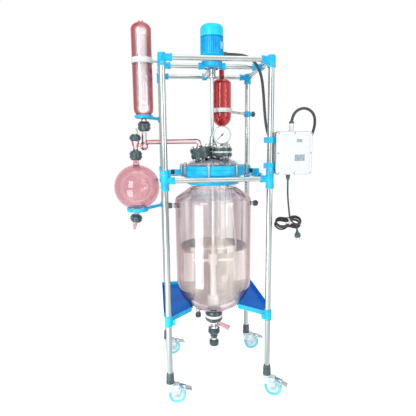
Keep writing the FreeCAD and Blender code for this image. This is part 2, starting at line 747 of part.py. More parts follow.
def make_vessel():
    """The stirred pot and the jacket round it, which closes on the pot's neck and on its drain neck."""
    neck = neck_radius + seat_gap
    drain = drain_neck_radius + seat_gap
    outer = dome(vessel_radius, belly_z, -belly_depth, drain)[::-1]
    outer += softened((vessel_radius, shoulder_z), (vessel_radius, belly_z), (neck, neck_foot_z), 60)
    outer += [(neck, neck_foot_z)]
    side = vessel_radius - glass_wall
    inner = dome(side, belly_z, glass_wall - belly_depth, drain, 4)[::-1]
    inner += softened((side, shoulder_z - 2), (side, belly_z), (neck, neck_foot_z - 7), 55)
    inner += [(neck, neck_foot_z - 7)]
    jacket = turned(outer + inner[::-1])
    nozzle_end = vessel_radius + port_reach
    x, y = low_port_at
    low_z = low_port_z()
    nozzles = [rod(port_radius, (s * (side + 2), 0, port_z), (s * nozzle_end, 0, port_z)) for s in (-1,
                                                                                                    1)]
    nozzles.append(upright(port_radius, low_z - low_port_drop, low_z + 6, x, y))
    bores = [rod(port_radius - 4, (s * (side - 6), 0, port_z),
                 (s * nozzle_end, 0, port_z)) for s in (-1, 1)]
    bores.append(upright(port_radius - 4, low_z - low_port_drop, low_z + 12, x, y))
    cavity = turned(inner + [(0, inner[-1][1]), (0, inner[0][1])])
    add("vessel_jacket", fused(jacket, *nozzles).cut(cavity).cut(Part.makeCompound(bores)))

    drain_top_z = sum(drain_coupling_z) / 2 + drain_band_height / 2
    lip = drain_flange_radius()
    pot = dome(pot_radius, belly_z, -pot_depth, drain_neck_radius, 4)[::-1]
    pot = [(lip, drain_top_z), (lip, drain_top_z + 10), (drain_neck_radius, drain_top_z + 12)] + pot
    pot += softened((pot_radius, pot_shoulder_z), (pot_radius, belly_z),
                    (neck_radius, neck_foot_z - 27), 50)
    pot += [(neck_radius, neck_foot_z - 27), (neck_radius, flange_foot_z),
            (flange_radius, flange_foot_z),
            (flange_radius, flange_top_z)]
    bore = drain_neck_radius - drain_neck_wall
    inside = [(bore, drain_top_z)] + dome(pot_radius - pot_wall, belly_z, pot_wall - pot_depth, bore,
                                          4)[::-1]
    inside += softened((pot_radius - pot_wall, pot_shoulder_z - 2), (pot_radius - pot_wall, belly_z),
                       (neck_radius - pot_wall, neck_foot_z - 29), 45)
    inside += [(neck_radius - pot_wall, neck_foot_z - 29), (neck_radius - pot_wall, flange_top_z)]
    add("inner_vessel", turned(pot + inside[::-1]))


def low_port_z():
    return belly_z - belly_depth * math.sqrt(1 - (math.hypot(*low_port_at) / vessel_radius) ** 2)


def port_caps():
    """The black screw caps on the jacket's three nozzles."""
    start = vessel_radius + port_reach
    caps = [rod(port_cap_radius, (s * start, 0, port_z), (s * (start + port_cap_length), 0,
                                                          port_z)) for s in (-1, 1)]
    top = low_port_z() - low_port_drop
    return caps + [upright(port_cap_radius, top - port_cap_length, top, *low_port_at)]


def make_drain():
    foot_z, top_z = drain_coupling_z
    middle = (foot_z + top_z) / 2
    band_low, band_high = middle - drain_band_height / 2, middle + drain_band_height / 2
    hold = drain_flange_radius() + seat_gap
    upper = turned([(hold, band_high), (drain_coupling_radius - 2, band_high),
                    (drain_coupling_radius, band_high + 4),
                    (drain_coupling_radius - 6, top_z), (drain_neck_radius + 2, top_z),
                    (drain_neck_radius + 2, top_z - 12), (hold, top_z - 12)])
    lower = turned([(hold, foot_z + 8), (drain_body_radius + seat_gap, foot_z + 8),
                    (drain_body_radius + seat_gap, foot_z),
                    (drain_coupling_radius - 8, foot_z), (drain_coupling_radius, foot_z + 10),
                    (drain_coupling_radius - 2, band_low), (hold, band_low)])

    seat_z = band_high
    bore = stem_radius + running_gap
    chamber = plug_radius + 0.5
    body = turned([(bore, drain_body_foot), (drain_body_radius, drain_body_foot),
                   (drain_body_radius, foot_z + 8.2),
                   (hold - 0.6, foot_z + 8.2), (hold - 0.6, seat_z), (chamber, seat_z),
                   (chamber, outlet_root_z - 16), (bore, outlet_root_z - 16)])
    outlet = rod(outlet_radius, (drain_body_radius - 6, 0, outlet_root_z), outlet_tip)
    passage = rod(outlet_radius - 4, (12, 0, outlet_root_z + 6),
                  (outlet_tip[0] + 12, 0, outlet_tip[2] - 8.4))
    add("drain_body", fused(body, outlet).cut(upright(chamber, outlet_root_z - 16,
                                                      seat_z)).cut(passage))

    neck = stem_collar_radius
    bonnet = turned([(bore, drain_bonnet_foot), (neck + 6, drain_bonnet_foot),
                     (drain_bonnet_radius, drain_bonnet_foot + 34),
                     (drain_bonnet_radius, drain_body_foot),
                     (bore, drain_body_foot)])
    add("drain_coupling", upper, lower, bonnet)

    wheel_low, wheel_high = handwheel_z
    travel = drain_travel
    tip_z = seat_z + 18
    stem_foot = wheel_low + travel + 4
    add("drain_plunger", turned([(0, stem_foot), (stem_radius, stem_foot), (stem_radius, seat_z - 14),
                                 (plug_radius, seat_z - 12), (plug_radius, seat_z + 4),
                                 (drain_neck_radius - 8, tip_z),
                                 (0, tip_z)]))
    grips = [placed(upright(5, wheel_low, wheel_high, handwheel_radius), (0, 0, 0),
                    60.0 * i) for i in range(6)]
    collar_top = drain_bonnet_foot - seat_gap
    wheel = turned([(bore, wheel_low + 3), (bore, collar_top), (stem_collar_radius, collar_top),
                    (stem_collar_radius, wheel_high), (handwheel_radius, wheel_high),
                    (handwheel_radius, wheel_low), (0, wheel_low), (0, wheel_low + 3)])
    add("drain_handwheel", wheel.cut(Part.makeCompound(grips)))


def make_trays():
    trim_radius = belly_radius(tray_z + tray_trim_rise) + seat_gap
    sheet_radius = trim_radius + tray_trim
    low, high = (math.radians(a) for a in tray_arc)
    inner = [(sheet_radius * math.cos(a), sheet_radius * math.sin(a)) for a in (low, (low + high) / 2,
                                                                                high)]
    post = (half_spacing, front_y)
    corners = [(post[0] - 8, post[1] + 18), (tray_outer_x, tray_front_y), (tray_outer_x, tray_back_y),
               (half_spacing - tray_back_width, tray_back_y), inner[2]]
    start, end = Vector(*inner[0], 0), Vector(*corners[0], 0)
    path = [Part.Arc(Vector(*inner[2], 0), Vector(*inner[1], 0), start).toShape(),
            Part.LineSegment(start, end).toShape()]
    path += [Part.LineSegment(Vector(*a, 0), Vector(*b, 0)).toShape() for a,
             b in zip(corners, corners[1:])]
    face = Part.Face(Part.Wire(Part.__sortEdges__(path)))
    sheet = face.extrude(Vector(0, 0, tray_sheet))
    sheet.translate(Vector(0, 0, tray_z - tray_sheet))
    rim_run = (end - start).normalize()
    side = Vector(-rim_run.y, rim_run.x, 0) * tray_sheet
    rim = plate([(start.x, start.y), (end.x, end.y), (end.x + side.x, end.y + side.y),
                 (start.x + side.x, start.y + side.y)], tray_z - tray_rim, tray_z)
    outer = block((tray_outer_x - tray_sheet, tray_outer_x), (tray_front_y, tray_back_y),
                  (tray_z - tray_sheet, tray_z + tray_upstand))
    back = block((half_spacing - tray_back_width, tray_outer_x),
                 (tray_back_y - tray_sheet, tray_back_y),
                 (tray_z - tray_sheet, tray_z + tray_upstand))
    holes = [upright(fitting_radius + 1, 0, top_rail_z, half_spacing, y) for y in (front_y, back_y)]
    tray = fused(sheet, rim, outer, back).cut(Part.makeCompound(holes))
    add("belly_trays", tray, mirrored(tray))

    trim_foot = Vector(0, 0, tray_z + tray_trim_rise - tray_trim_height)
    trim = Part.makeCylinder(sheet_radius - 0.1, tray_trim_height, trim_foot, Vector(0, 0, 1),
                             tray_arc[1] - tray_arc[0])
    trim.rotate(Vector(), Vector(0, 0, 1), tray_arc[0])
    trim = trim.cut(upright(trim_radius, 0, top_rail_z))
    add("tray_trims", trim, mirrored(trim))


def post_clamps():
    """Sleeves that carry the trays and the control box on the posts."""
    clamps = []
    for x, y in posts_at.values():
        reach = math.copysign(fitting_radius + 14, -x)
        foot = tray_clamp_z - tray_clamp_height / 2
        lug = block(sorted((x, x + reach)), (y - 7, y + 7), (foot + 8, tray_z - tray_sheet - 0.1))
        body = fused(upright(fitting_radius, foot, foot + tray_clamp_height, x, y), lug)
        clamps.append(body.cut(upright(post_radius + sleeve_gap, 0, top_rail_z, x, y)))
    x, y = posts_at["front_right"]
    for z in box_clamp_heights:
        low, high = z - box_clamp_height / 2, z + box_clamp_height / 2
        body = fused(upright(fitting_radius, low, high, x, y),
                     block((x - 34, box_x[0]), (y - 9, y + 9), (low, high)))
        clamps.append(body.cut(upright(post_radius + sleeve_gap, 0, top_rail_z, x, y)))
    return clamps


def make_casters():
    sockets = []
    for x, y in posts_at.values():
        top = caster_height + socket_height
        stem_top = caster_height + socket_web - 6
        sockets.append(turned([(0, post_foot_z), (post_radius + sleeve_gap, post_foot_z),
                               (post_radius + sleeve_gap, top), (socket_top_radius, top),
                               (socket_foot_radius, caster_height),
                               (caster_stem_radius + running_gap, caster_height),
                               (caster_stem_radius + running_gap, stem_top), (0, stem_top)], x, y))
    add("caster_sockets", *sockets)
    for corner, at in posts_at.items():
        turn = caster_turns[corner]
        add("caster_fork_" + corner, placed(caster_fork(), (*at, 0), turn))
        add("caster_wheel_" + corner, placed(caster_wheel(), (*at, 0), turn))
        add("caster_pedal_" + corner, *[placed(piece, (*at, 0), turn) for piece in caster_pedal()])


def caster_fork():
    """Crown, stem, two cheeks and the axle. The wheel trails along local +X."""
    top = caster_height - seat_gap
    crown_z = top - fork_crown_height
    stem_top = caster_height + socket_web - 8
    inner = wheel_width / 2 + 2.5
    outer = inner + fork_plate
    crown = turned([(0, crown_z), (fork_crown_radius, crown_z), (fork_crown_radius, top),
                    (caster_stem_radius, top),
                    (caster_stem_radius, stem_top), (0, stem_top)])
    bridge = block((-18, caster_trail + 14), (-outer, outer), (crown_z - fork_plate, crown_z))
    outline = [(-18, crown_z), (caster_trail + 14, crown_z), (caster_trail + 22, crown_z - 24),
               (caster_trail + 12, wheel_radius - 12), (caster_trail - 12, wheel_radius - 12),
               (-18, crown_z - 16)]
    cheeks = []
    for start in (-outer, inner):
        corners = [Vector(x, start, z) for x, z in outline]
        cheeks.append(Part.Face(Part.makePolygon(corners + corners[:1])).extrude(Vector(0, fork_plate,
                                                                                        0)))
    axle = rod(axle_radius, (caster_trail, -outer - 4, wheel_radius),
               (caster_trail, outer + 4, wheel_radius))
    px, pz = pedal_pivot()
    pivots = [rod(pivot_radius, (px, side * inner, pz), (px, side * (outer + 5), pz)) for side in (-1,
                                                                                                   1)]
    return fused(crown, bridge, *cheeks, axle, *pivots)


def pedal_pivot():
    return caster_trail + 10, caster_height - fork_crown_height - 18


def caster_wheel():
    half = wheel_width / 2
    return sleeve(wheel_radius, axle_radius + running_gap, (caster_trail, -half, wheel_radius),
                  (caster_trail, half, wheel_radius))


def caster_pedal():
    """Brake lever: two arms outside the cheeks, and the foot plate between their ends, past the wheel."""
    px, pz = pedal_pivot()
    outer = wheel_width / 2 + 2.5 + fork_plate
    tip = caster_trail + 82
    outline = [(px - 8, pz - 6), (px + 6, pz - 8), (tip - 30, pz - 12), (tip - 30, pz - 5),
               (px, pz + 8)]
    arm_start = outer + seat_gap
    arms_made = []
    for start in (-arm_start - fork_plate, arm_start):
        corners = [Vector(x, start, z) for x, z in outline]
        arm = Part.Face(Part.makePolygon(corners + corners[:1])).extrude(Vector(0, fork_plate, 0))
        arms_made.append(arm.cut(rod(pivot_radius + running_gap, (px, -60, pz), (px, 60, pz))))
    foot = [Vector(tip - 34, -arm_start, pz - 12), Vector(tip, -arm_start, pz - 20),
            Vector(tip, -arm_start, pz - 15),
            Vector(tip - 34, -arm_start, pz - 5)]
    foot_plate = Part.Face(Part.makePolygon(foot + foot[:1])).extrude(Vector(0, 2 * arm_start, 0))
    return [foot_plate, *arms_made]


def make_control_box():
    (x0, x1), (y0, y1), (z0, z1) = box_x, box_y, box_z
    c = box_corner
    outline = [(x0 + c, z0), (x1 - c, z0), (x1, z0 + c), (x1, z1 - c), (x1 - c, z1), (x0 + c, z1),
               (x0, z1 - c), (x0, z0 + c)]
    split = y0 + box_cover_depth
    corners = [Vector(x, split, z) for x, z in outline]
    face = Part.Face(Part.makePolygon(corners + corners[:1]))
    add("box_shell", face.extrude(Vector(0, y1 - split, 0)))
    cover = face.extrude(Vector(0, y0 - split, 0))
    add("box_cover", cover.makeChamfer(5,
                                       [e for e in cover.Edges if all(v.Y < y0 + 1 for v in e.Vertexes)]))

    glands = [upright(gland_radius, z1, z1 + gland_length, top_gland_x, front_y),
              upright(gland_radius, z0 - gland_length, z0, bottom_gland_x, front_y)]
    glands.append(rod(gland_radius + 1, (motor_radius + 6, 0, motor_gland_z),
                      (motor_radius + 24, 0, motor_gland_z)))
    add("cable_glands", *glands)


def beside_post(points):
    """Route points that are counted from the right front post's axis."""
    return [(right_post[0] + x, right_post[1] + y, z) for x, y, z in points]


def make_cords():
    route = [(motor_radius + 24, 0, motor_gland_z)] + conduit_drop + beside_post(conduit_route)
    route.append((top_gland_x, front_y, box_z[1] + gland_length))
    add("power_conduit", pipe(route, conduit_radius, "power_conduit"))
    lead, tail = beside_post(lead_route), beside_post(plug_lead_route)
    add("mains_lead", pipe(lead, lead_radius, "mains_lead"), pipe(tail, lead_radius, "plug_lead"))
    top = Vector(*tail[-1])
    heading = top - Vector(*tail[-2])
    body = [(0, 0), (lead_radius + 2, 0), (plug_radius_wide, 20), (plug_radius_wide, plug_length),
            (0, plug_length)]
    pin = [(0, plug_length), (pin_radius, plug_length), (pin_radius, plug_length + pin_length),
           (0, plug_length + pin_length)]
    pins = [turned_on(pin, top + Vector(0, side * pin_spacing / 2, 0), heading) for side in (-1, 1)]
    add("mains_plug", fused(turned_on(body, top, heading), *pins))
    middle, _, waist_top = lead[-1]
    low, high = hank_z
    waist_foot = low + high - waist_top
    side = [(hank_tie / 2, waist_foot), (hank_width / 2 - 32, low), (hank_width / 2 - 8, low),
            (hank_width / 2, low + 8),
            (hank_width / 2, high - 8), (hank_width / 2 - 8, high), (hank_width / 2 - 32, high),
            (hank_tie / 2, waist_top)]
    outline = [(middle + x, z) for x, z in side] + [(middle - x, z) for x, z in side[::-1]]
    corners = [Vector(x, front_y - hank_thickness / 2, z) for x, z in outline]
    hank = Part.Face(Part.makePolygon(corners + corners[:1])).extrude(Vector(0, hank_thickness, 0))
    add("lead_hank", hank)


def make_condenser():
    x, y = condenser_at
    low, high = condenser_z
    neck, wall = condenser_neck_radius, glass_wall - 1
    joint = upper_joint_z + joint_clamp_height / 2
    shell = [(neck, upper_joint_z), (neck, low - 18), (support_radius - 5, low),
             (condenser_radius, low + 22)]
    shell += dome(condenser_radius, high - 46, 38, neck - 3, 3) + [(neck - 3, high)]
    inside = [(neck - wall, upper_joint_z), (neck - wall, low - 16), (support_radius - 9, low + 2),
              (condenser_radius - wall, low + 23)]
    inside += dome(condenser_radius - wall, high - 46, 38 - wall, neck - 3 - wall,
                   3) + [(neck - 3 - wall, high)]
    core_low, core_high = joint + core_foot_rise, high - core_top_drop
    core = turned([(condenser_core_radius - wall, core_low), (condenser_core_radius, core_low),
                   (condenser_core_radius, core_high), (condenser_core_radius - wall, core_high)], x, y)
    start, collar = y + condenser_core_radius - 2, y + condenser_radius + 1
    end = y + condenser_radius + nipple_reach
    heights = (core_low + 18, core_high - 18)
    nipples = [rod(nipple_radius, (x, start, z), (x, end, z)) for z in heights]
    nipples += [rod(nipple_radius + 4, (x, collar, z), (x, collar + 4, z)) for z in heights]
    holes = [rod(nipple_radius + seat_gap, (x, start, z), (x, end, z)) for z in heights]
    add("condenser", turned(shell + inside[::-1], x, y).cut(Part.makeCompound(holes)),
        fused(core, *nipples))


def receiver_tip():
    """The glass tip under the flask's own drain clamp."""
    outlet = flask_neck_radius - 2
    length = (outlet_clamp_z - outlet_tip_z) / math.cos(math.radians(outlet_lean))
    profile = [(outlet - 5, 0), (outlet, 0), (outlet, 26), (7, length), (4, length), (outlet - 5, 24)]
    foot = flask_outlet_point(outlet_joint() + seat_gap)
    return turned_on(profile, foot, flask_outlet_point(1) - flask_outlet_point(0))


def make_still_head():
    """Bulb under the condenser, the vapour tube from the lid and the take-off leg over the receiver."""
    x, y = condenser_at
    neck, wall = condenser_neck_radius, 3
    bulb = [(neck, upper_joint_z - seat_gap), (neck, head_bulb_z + 24)]
    bulb += dome(head_bulb_radius, head_bulb_z, -head_bulb_radius, 4,
                 3) + [(0, head_bulb_z - head_bulb_radius)]
    body = turned([(0, upper_joint_z - seat_gap)] + bulb, x, y)
    corner = left_neck_point((vapour_z - neck_top_z) / math.cos(math.radians(left_neck_lean)))
    end = left_neck_point(36)
    line = [(x, y, vapour_z), tuple(corner), tuple(end)]
    tube = pipe(line, vapour_radius)
    foot = turned_on([(0, 0), (wide_neck_radius, 0), (wide_neck_radius, 26), (vapour_radius, 38),
                      (0, 38)],
                     left_neck_point(seat_gap), left_neck_point(1) - left_neck_point(0))
    vx, vy = valve_at
    leg_low, leg_high = valve_z
    leg = turned([(0, flask_clamp_z + seat_gap), (flask_neck_radius, flask_clamp_z + seat_gap),
                  (flask_neck_radius, flask_clamp_z + 28), (flask_neck_radius - 5, leg_low),
                  (valve_radius, leg_low + 34), (valve_radius, leg_high), (0, leg_high)], vx, vy)
    arm = rod(take_off_arm_radius, (x, y, take_off_arm_z), (vx, vy, take_off_arm_z))
    hollow = [pipe(line, vapour_radius - wall), turned_on([(0, -1), (wide_neck_radius - 6, -1),
              (vapour_radius - wall, 30), (0, 38)], left_neck_point(0),
              left_neck_point(1) - left_neck_point(0)),
              upright(flask_neck_radius - 9, flask_clamp_z, leg_low + 40, vx, vy),
              upright(neck - 4, head_bulb_z, upper_joint_z, x, y),
              upright(6 + running_gap, leg_low + 60, leg_high + 1, vx, vy)]
    head = fused(body, tube, foot, leg, arm).cut(Part.makeCompound(hollow))
    add("still_head", head, receiver_tip())
    top = leg_high + seat_gap
    knob = take_off_knob_radius
    add("take_off_knob", turned([(0, leg_low + 62), (6, leg_low + 62), (6, top), (knob, top),
                                 (knob, top + 24),
                                 (knob - 7, top + 37), (0, top + 37)], vx, vy))


def flask_outlet_point(along):
    lean = math.radians(outlet_lean)
    x, y = valve_at
    return Vector(x, y, flask_centre_z - flask_radius) + Vector(-math.sin(lean), 0,
                                                                -math.cos(lean)) * along


def outlet_joint():
    return (flask_centre_z - flask_radius - outlet_clamp_z) / math.cos(math.radians(outlet_lean))


def make_receiver():
    x, y = valve_at
    wall = glass_wall
    neck, outlet = flask_neck_radius, flask_neck_radius - 2
    outer = dome(flask_radius, flask_centre_z, -flask_radius, outlet, 4)[::-1]
    outer += dome(flask_radius, flask_centre_z, flask_radius, neck, 4)[1:] + [(neck, flask_clamp_z)]
    inner = dome(flask_radius - wall, flask_centre_z, wall - flask_radius, outlet - 4, 4)[::-1]
    inner += dome(flask_radius - wall, flask_centre_z, flask_radius - wall, neck - 4,
                  4)[1:] + [(neck - 4, flask_clamp_z)]
    bulb = turned(outer + inner[::-1], x, y)
    joint = outlet_joint()
    stub = rod(outlet, flask_outlet_point(-10), flask_outlet_point(joint))
    bore = rod(outlet - 4, flask_outlet_point(-14), flask_outlet_point(joint))
    cavity = turned([(0, inner[0][1])] + inner + [(0, inner[-1][1])], x, y)
    add("receiver_flask", fused(bulb, stub).cut(cavity).cut(bore))


def joint_clamps():
    """The black screw clamps that hold the glass joints of the left group together."""
    half = joint_clamp_height / 2
    clamps = []
    for at, z, radius, bore_radius, height in (
            (condenser_at, upper_joint_z, joint_clamp_radius, condenser_neck_radius, half),
            (valve_at, valve_clamp_z, joint_clamp_radius - 2, valve_radius, half - 10),
            (valve_at, flask_clamp_z, joint_clamp_radius, flask_neck_radius, half - 1)):
        clamps.append(joint_clamp(Vector(*at, z - height), Vector(*at, z + height), radius,
                                  bore_radius + seat_gap))
    joint = outlet_joint()
    clamps.append(joint_clamp(flask_outlet_point(joint - 22), flask_outlet_point(joint + 22),
                              joint_clamp_radius, flask_neck_radius - 2 + seat_gap))
    return clamps


def joint_clamp(start, end, radius, bore):
    """A black screw clamp with bevelled rims."""
    length = (end - start).Length
    bevel = 9
    return turned_on([(bore, 0), (radius - bevel, 0), (radius, bevel + 6), (radius, length - bevel - 6),
                      (radius - bevel, length), (bore, length)], start, end - start)


def support(post, at, z, ring_radius, ring_low, ring_high, inner):
    """A ring under a glass piece, on a bar from a sleeve on a post."""
    ring = sleeve(ring_radius, inner, (*at, ring_low), (*at, ring_high))
    away = Vector(post[0] - at[0], post[1] - at[1], 0).normalize()
    start = Vector(*at, z) + away * (ring_radius - 3)
    grip = support_sleeve_height / 2
    body = upright(fitting_radius, z - grip, z + grip, *post)
    shape = fused(ring, rod(support_bar_radius, start, (*post, z)), body)
    return shape.cut(upright(post_radius + sleeve_gap, 0, top_rail_z, *post))


def make_supports():
    post = posts_at["back_left"]
    under = condenser_z[0] - 2
    condenser = support(post, condenser_at, support_z, support_radius, under - support_height, under,
                        support_radius - 7)
    seat = flask_centre_z - math.sqrt(flask_radius ** 2 - (flask_support_radius - 6) ** 2) - 2
    flask = support(post, valve_at, flask_support_z, flask_support_radius, seat - 24, seat,
                    flask_support_radius - 10)
    post = posts_at["back_right"]
    at = funnel_neck_at
    z = funnel_clamp_z
    away = Vector(post[0] - at[0], post[1] - at[1], 0).normalize()
    grip = support_sleeve_height / 2
    side = post[0] + fitting_radius
    body = fused(upright(fitting_radius, z - grip, z + grip, *post),
                 rod(support_bar_radius, Vector(*at, z) + away * (funnel_radius + 7), (*post, z)),
                 rod(9, (post[0], post[1], z), (side + 6, post[1], z)),
                 rod(5, (side, post[1], z), (side + 26, post[1], z)))
    funnel_bar = body.cut(upright(post_radius + sleeve_gap, 0, top_rail_z, *post))
    x, y = condenser_at
    rail_x = -half_spacing
    band = fused(rod(rail_radius + 7, (rail_x, y - 15, top_rail_z), (rail_x, y + 15, top_rail_z)),
                 upright(support_bar_radius + 2, top_rail_z, condenser_band_z + 14, rail_x, y),
                 rod(support_bar_radius, (rail_x, y, condenser_band_z),
                     (x + condenser_radius + 4, y, condenser_band_z)))
    band = band.cut(rod(rail_radius + sleeve_gap, (rail_x, y - 16, top_rail_z),
                        (rail_x, y + 16, top_rail_z)))
    add("support_arms", condenser, flask, funnel_bar, band)
    add("support_knob", turned_on([(5 + running_gap, 0), (15, 0), (15, 23), (5 + running_gap, 23)],
                                  (side + 6 + seat_gap, post[1], z), (1, 0, 0)))


def make_funnel():
    x, y = funnel_neck_at
    low, high = funnel_z
    stem, neck, wall = funnel_stem_radius, funnel_neck_radius, 4
    foot = neck_top_z + seat_gap
    outer = [(stem, foot - 18), (stem, foot), (narrow_neck_radius, foot),
             (narrow_neck_radius, foot + 18),
             (stem, foot + 22), (stem, low - 20)]
    outer += [(funnel_radius - 12, low + 6), (funnel_radius, low + 26)] + dome(funnel_radius, high - 30,
                                                                               30, neck, 2)
    outer += [(neck, funnel_mouth_z)]
    inner = [(stem - wall, foot - 18), (stem - wall, low - 18),
             (funnel_radius - 14 - wall / 2, low + 10),
             (funnel_radius - wall, low + 28)] + dome(funnel_radius - wall, high - 30, 30 - wall,
                                                      neck - wall, 2)
    inner += [(neck - wall, funnel_mouth_z)]
    glass = turned(outer + inner[::-1], x, y)
    barrel = rod(13, (x - 26, y, funnel_key_z), (x + 26, y, funnel_key_z))
    key_radius = 7.0
    bore = rod(key_radius + running_gap, (x - 27, y, funnel_key_z), (x + 27, y, funnel_key_z))
    add("dropping_funnel", fused(glass, barrel).cut(bore))
    key = fused(rod(key_radius, (x - 34, y, funnel_key_z), (x + 27, y, funnel_key_z)),
                rod(12, (x + 26 + seat_gap, y, funnel_key_z), (x + 36, y, funnel_key_z)),
                block((x + 36, x + 44), (y - 26, y + 26), (funnel_key_z - 6, funnel_key_z + 6)))
    add("funnel_key", key)


make_frame()
make_drive()
make_stirrer()
make_lid()
make_gauge()
make_clamp_ring()
make_vessel()
make_drain()
make_trays()
make_casters()
make_control_box()
make_cords()
make_condenser()
make_still_head()
make_receiver()
make_supports()
make_funnel()

os.makedirs("parts", exist_ok=True)
for name, shape in nodes.items():
    if not shape.isValid():
        print("not valid:", name)
    shape.exportStep(f"parts/{name}.step")
print(len(nodes), "nodes")
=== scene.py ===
import bpy
from math import acos, copysign, cos, pi, radians, sin, sqrt
from mathutils import Matrix, Vector


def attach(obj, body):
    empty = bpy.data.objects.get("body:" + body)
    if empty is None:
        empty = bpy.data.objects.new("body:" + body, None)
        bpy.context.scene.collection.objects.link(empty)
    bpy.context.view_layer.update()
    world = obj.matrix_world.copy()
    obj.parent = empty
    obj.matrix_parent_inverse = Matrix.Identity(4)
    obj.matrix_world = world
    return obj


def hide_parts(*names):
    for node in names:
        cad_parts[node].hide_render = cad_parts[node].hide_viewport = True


# Jacketed glass reactor on a wheeled tube frame. Lengths in the dictionaries are millimetres.
# X points to the right, Y to the back, Z up; the origin is on the floor under the stirrer shaft.
scene = bpy.context.scene
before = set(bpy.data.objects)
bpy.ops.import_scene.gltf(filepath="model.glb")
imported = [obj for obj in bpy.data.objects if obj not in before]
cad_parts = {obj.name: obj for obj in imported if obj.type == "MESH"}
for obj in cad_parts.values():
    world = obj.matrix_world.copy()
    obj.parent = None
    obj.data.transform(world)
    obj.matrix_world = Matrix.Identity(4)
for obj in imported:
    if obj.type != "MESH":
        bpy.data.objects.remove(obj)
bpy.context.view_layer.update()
mm = 0.001

camera = {
    "place": (-327.0, -2184.0, 1426.0),
    "turn": 7.75,        # degrees to the right
    "tilt": 8.95,        # degrees down
    "roll": -0.56,
    "lens": 33.1,
}


def aimCamera():
    turn, tilt, roll = (radians(camera[k]) for k in ("turn", "tilt", "roll"))
    ahead = Vector((sin(turn) * cos(tilt), cos(turn) * cos(tilt), -sin(tilt)))
    right = Vector((cos(turn), -sin(turn), 0))
    up = right.cross(ahead)
    across = right * cos(roll) + up * sin(roll)
    above = up * cos(roll) - right * sin(roll)
    data = bpy.data.cameras.new("camera")
    data.lens = camera["lens"]
    data.sensor_width = 36
    data.clip_end = 60
    obj = bpy.data.objects.new("camera", data)
    scene.collection.objects.link(obj)
    matrix = Matrix((across, above, -ahead)).transposed().to_4x4()
    matrix.translation = Vector(camera["place"]) * mm
    obj.matrix_world = matrix
    scene.camera = obj


aimCamera()
print("camera set")

# Opaque finishes: slot, dark and light colour, roughness from and to, size and relief of the grain,
# and what else differs from surface().
finishes = {
    "casting": ("blue_paint", (0.008, 0.42, 0.84), (0.010, 0.60, 0.92), (0.32, 0.44), 26, 0.10,
                {"coat": 0.05, "specular": 0.3}),
    # litHoodPaint: the casting blue painted lighter for the motor's cap, as painted light
    "litHoodPaint": ("blue_paint", (0.010, 0.62, 0.90), (0.014, 0.76, 0.92), (0.32, 0.44), 20, 0.08,
                  {"coat": 0.05, "specular": 0.3}),
    # seamAndShadeBlue: the casting blue painted darker; on the belly trays it is painted shade, on the motor
    # it is the seam ring
    "seamAndShadeBlue": ("blue_paint", (0.004, 0.125, 0.60), (0.006, 0.205, 0.78), (0.42, 0.54), 8, 0.10,
                  {"specular": 0.12}),
    # steel: brushed grain, and its wide dark-to-light range along the stretched grain is painted reflection
    # bands
    "steel": ("stainless_steel", (0.26, 0.30, 0.31), (0.56, 0.60, 0.58), (0.14, 0.24), 34, 0.04,
              {"stretch": 0.03, "metallic": 1.0}),
    "railSteel": (None, (0.42, 0.46, 0.45), (0.54, 0.58, 0.56), (0.14, 0.22), 12, 0.03,
                  {"metallic": 1.0}),
    "zinc": ("zinc_plate", (0.36, 0.41, 0.44), (0.56, 0.61, 0.63), (0.24, 0.38), 60, 0.10,
             {"metallic": 0.9}),
    "blackPlastic": ("black_plastic", (0.016, 0.034, 0.040), (0.062, 0.120, 0.130), (0.20, 0.34), 34,
                     0.20, {"coat": 0.2}),
    "rubber": ("black_rubber", (0.012, 0.012, 0.013), (0.030, 0.031, 0.033), (0.55, 0.75), 70, 0.3, {}),
    # litPaddleWhite: the PTFE painted lighter than ptfe for the stirrer paddle, as painted light that makes
    # up for the light it loses in the glass
    "litPaddleWhite": ("white_ptfe", (0.90, 0.91, 0.90), (0.95, 0.96, 0.94), (0.35, 0.50), 18, 0.05, {}),
    "ptfe": ("white_ptfe", (0.76, 0.77, 0.76), (0.84, 0.84, 0.82), (0.35, 0.50), 18, 0.08, {}),
    "boxPaint": ("white_enamel", (0.75, 0.77, 0.77), (0.80, 0.82, 0.82), (0.38, 0.50), 160, 0.25, {}),
    "platePaint": ("zinc_plate", (0.22, 0.30, 0.36), (0.40, 0.50, 0.56), (0.3, 0.45), 90, 0.10, {}),
    "wheelPlastic": ("pale_tread", (0.12, 0.56, 0.70), (0.22, 0.72, 0.80), (0.25, 0.40), 22, 0.08,
                     {"coat": 0.2}),
    "forkShell": ("zinc_plate", (0.50, 0.62, 0.65), (0.74, 0.83, 0.85), (0.22, 0.34), 30, 0.10,
                  {"metallic": 0.3}),
    "hubShell": ("pale_tread", (0.62, 0.80, 0.84), (0.80, 0.92, 0.94), (0.25, 0.40), 26, 0.08,
                 {"coat": 0.2}),
    "conduitSkin": ("grey_conduit", (0.020, 0.026, 0.030), (0.045, 0.055, 0.060), (0.32, 0.5), 240, 0.6,
                    {}),
    "leadSkin": ("grey_lead", (0.016, 0.012, 0.013), (0.040, 0.026, 0.028), (0.40, 0.55), 200, 0.3, {}),
    "enamel": ("white_enamel", (0.80, 0.81, 0.81), (0.87, 0.88, 0.88), (0.30, 0.40), 30, 0.02, {}),
    "ink": ("black_enamel", (0.06, 0.07, 0.08), (0.11, 0.12, 0.13), (0.45, 0.60), 60, 0.05, {}),
}
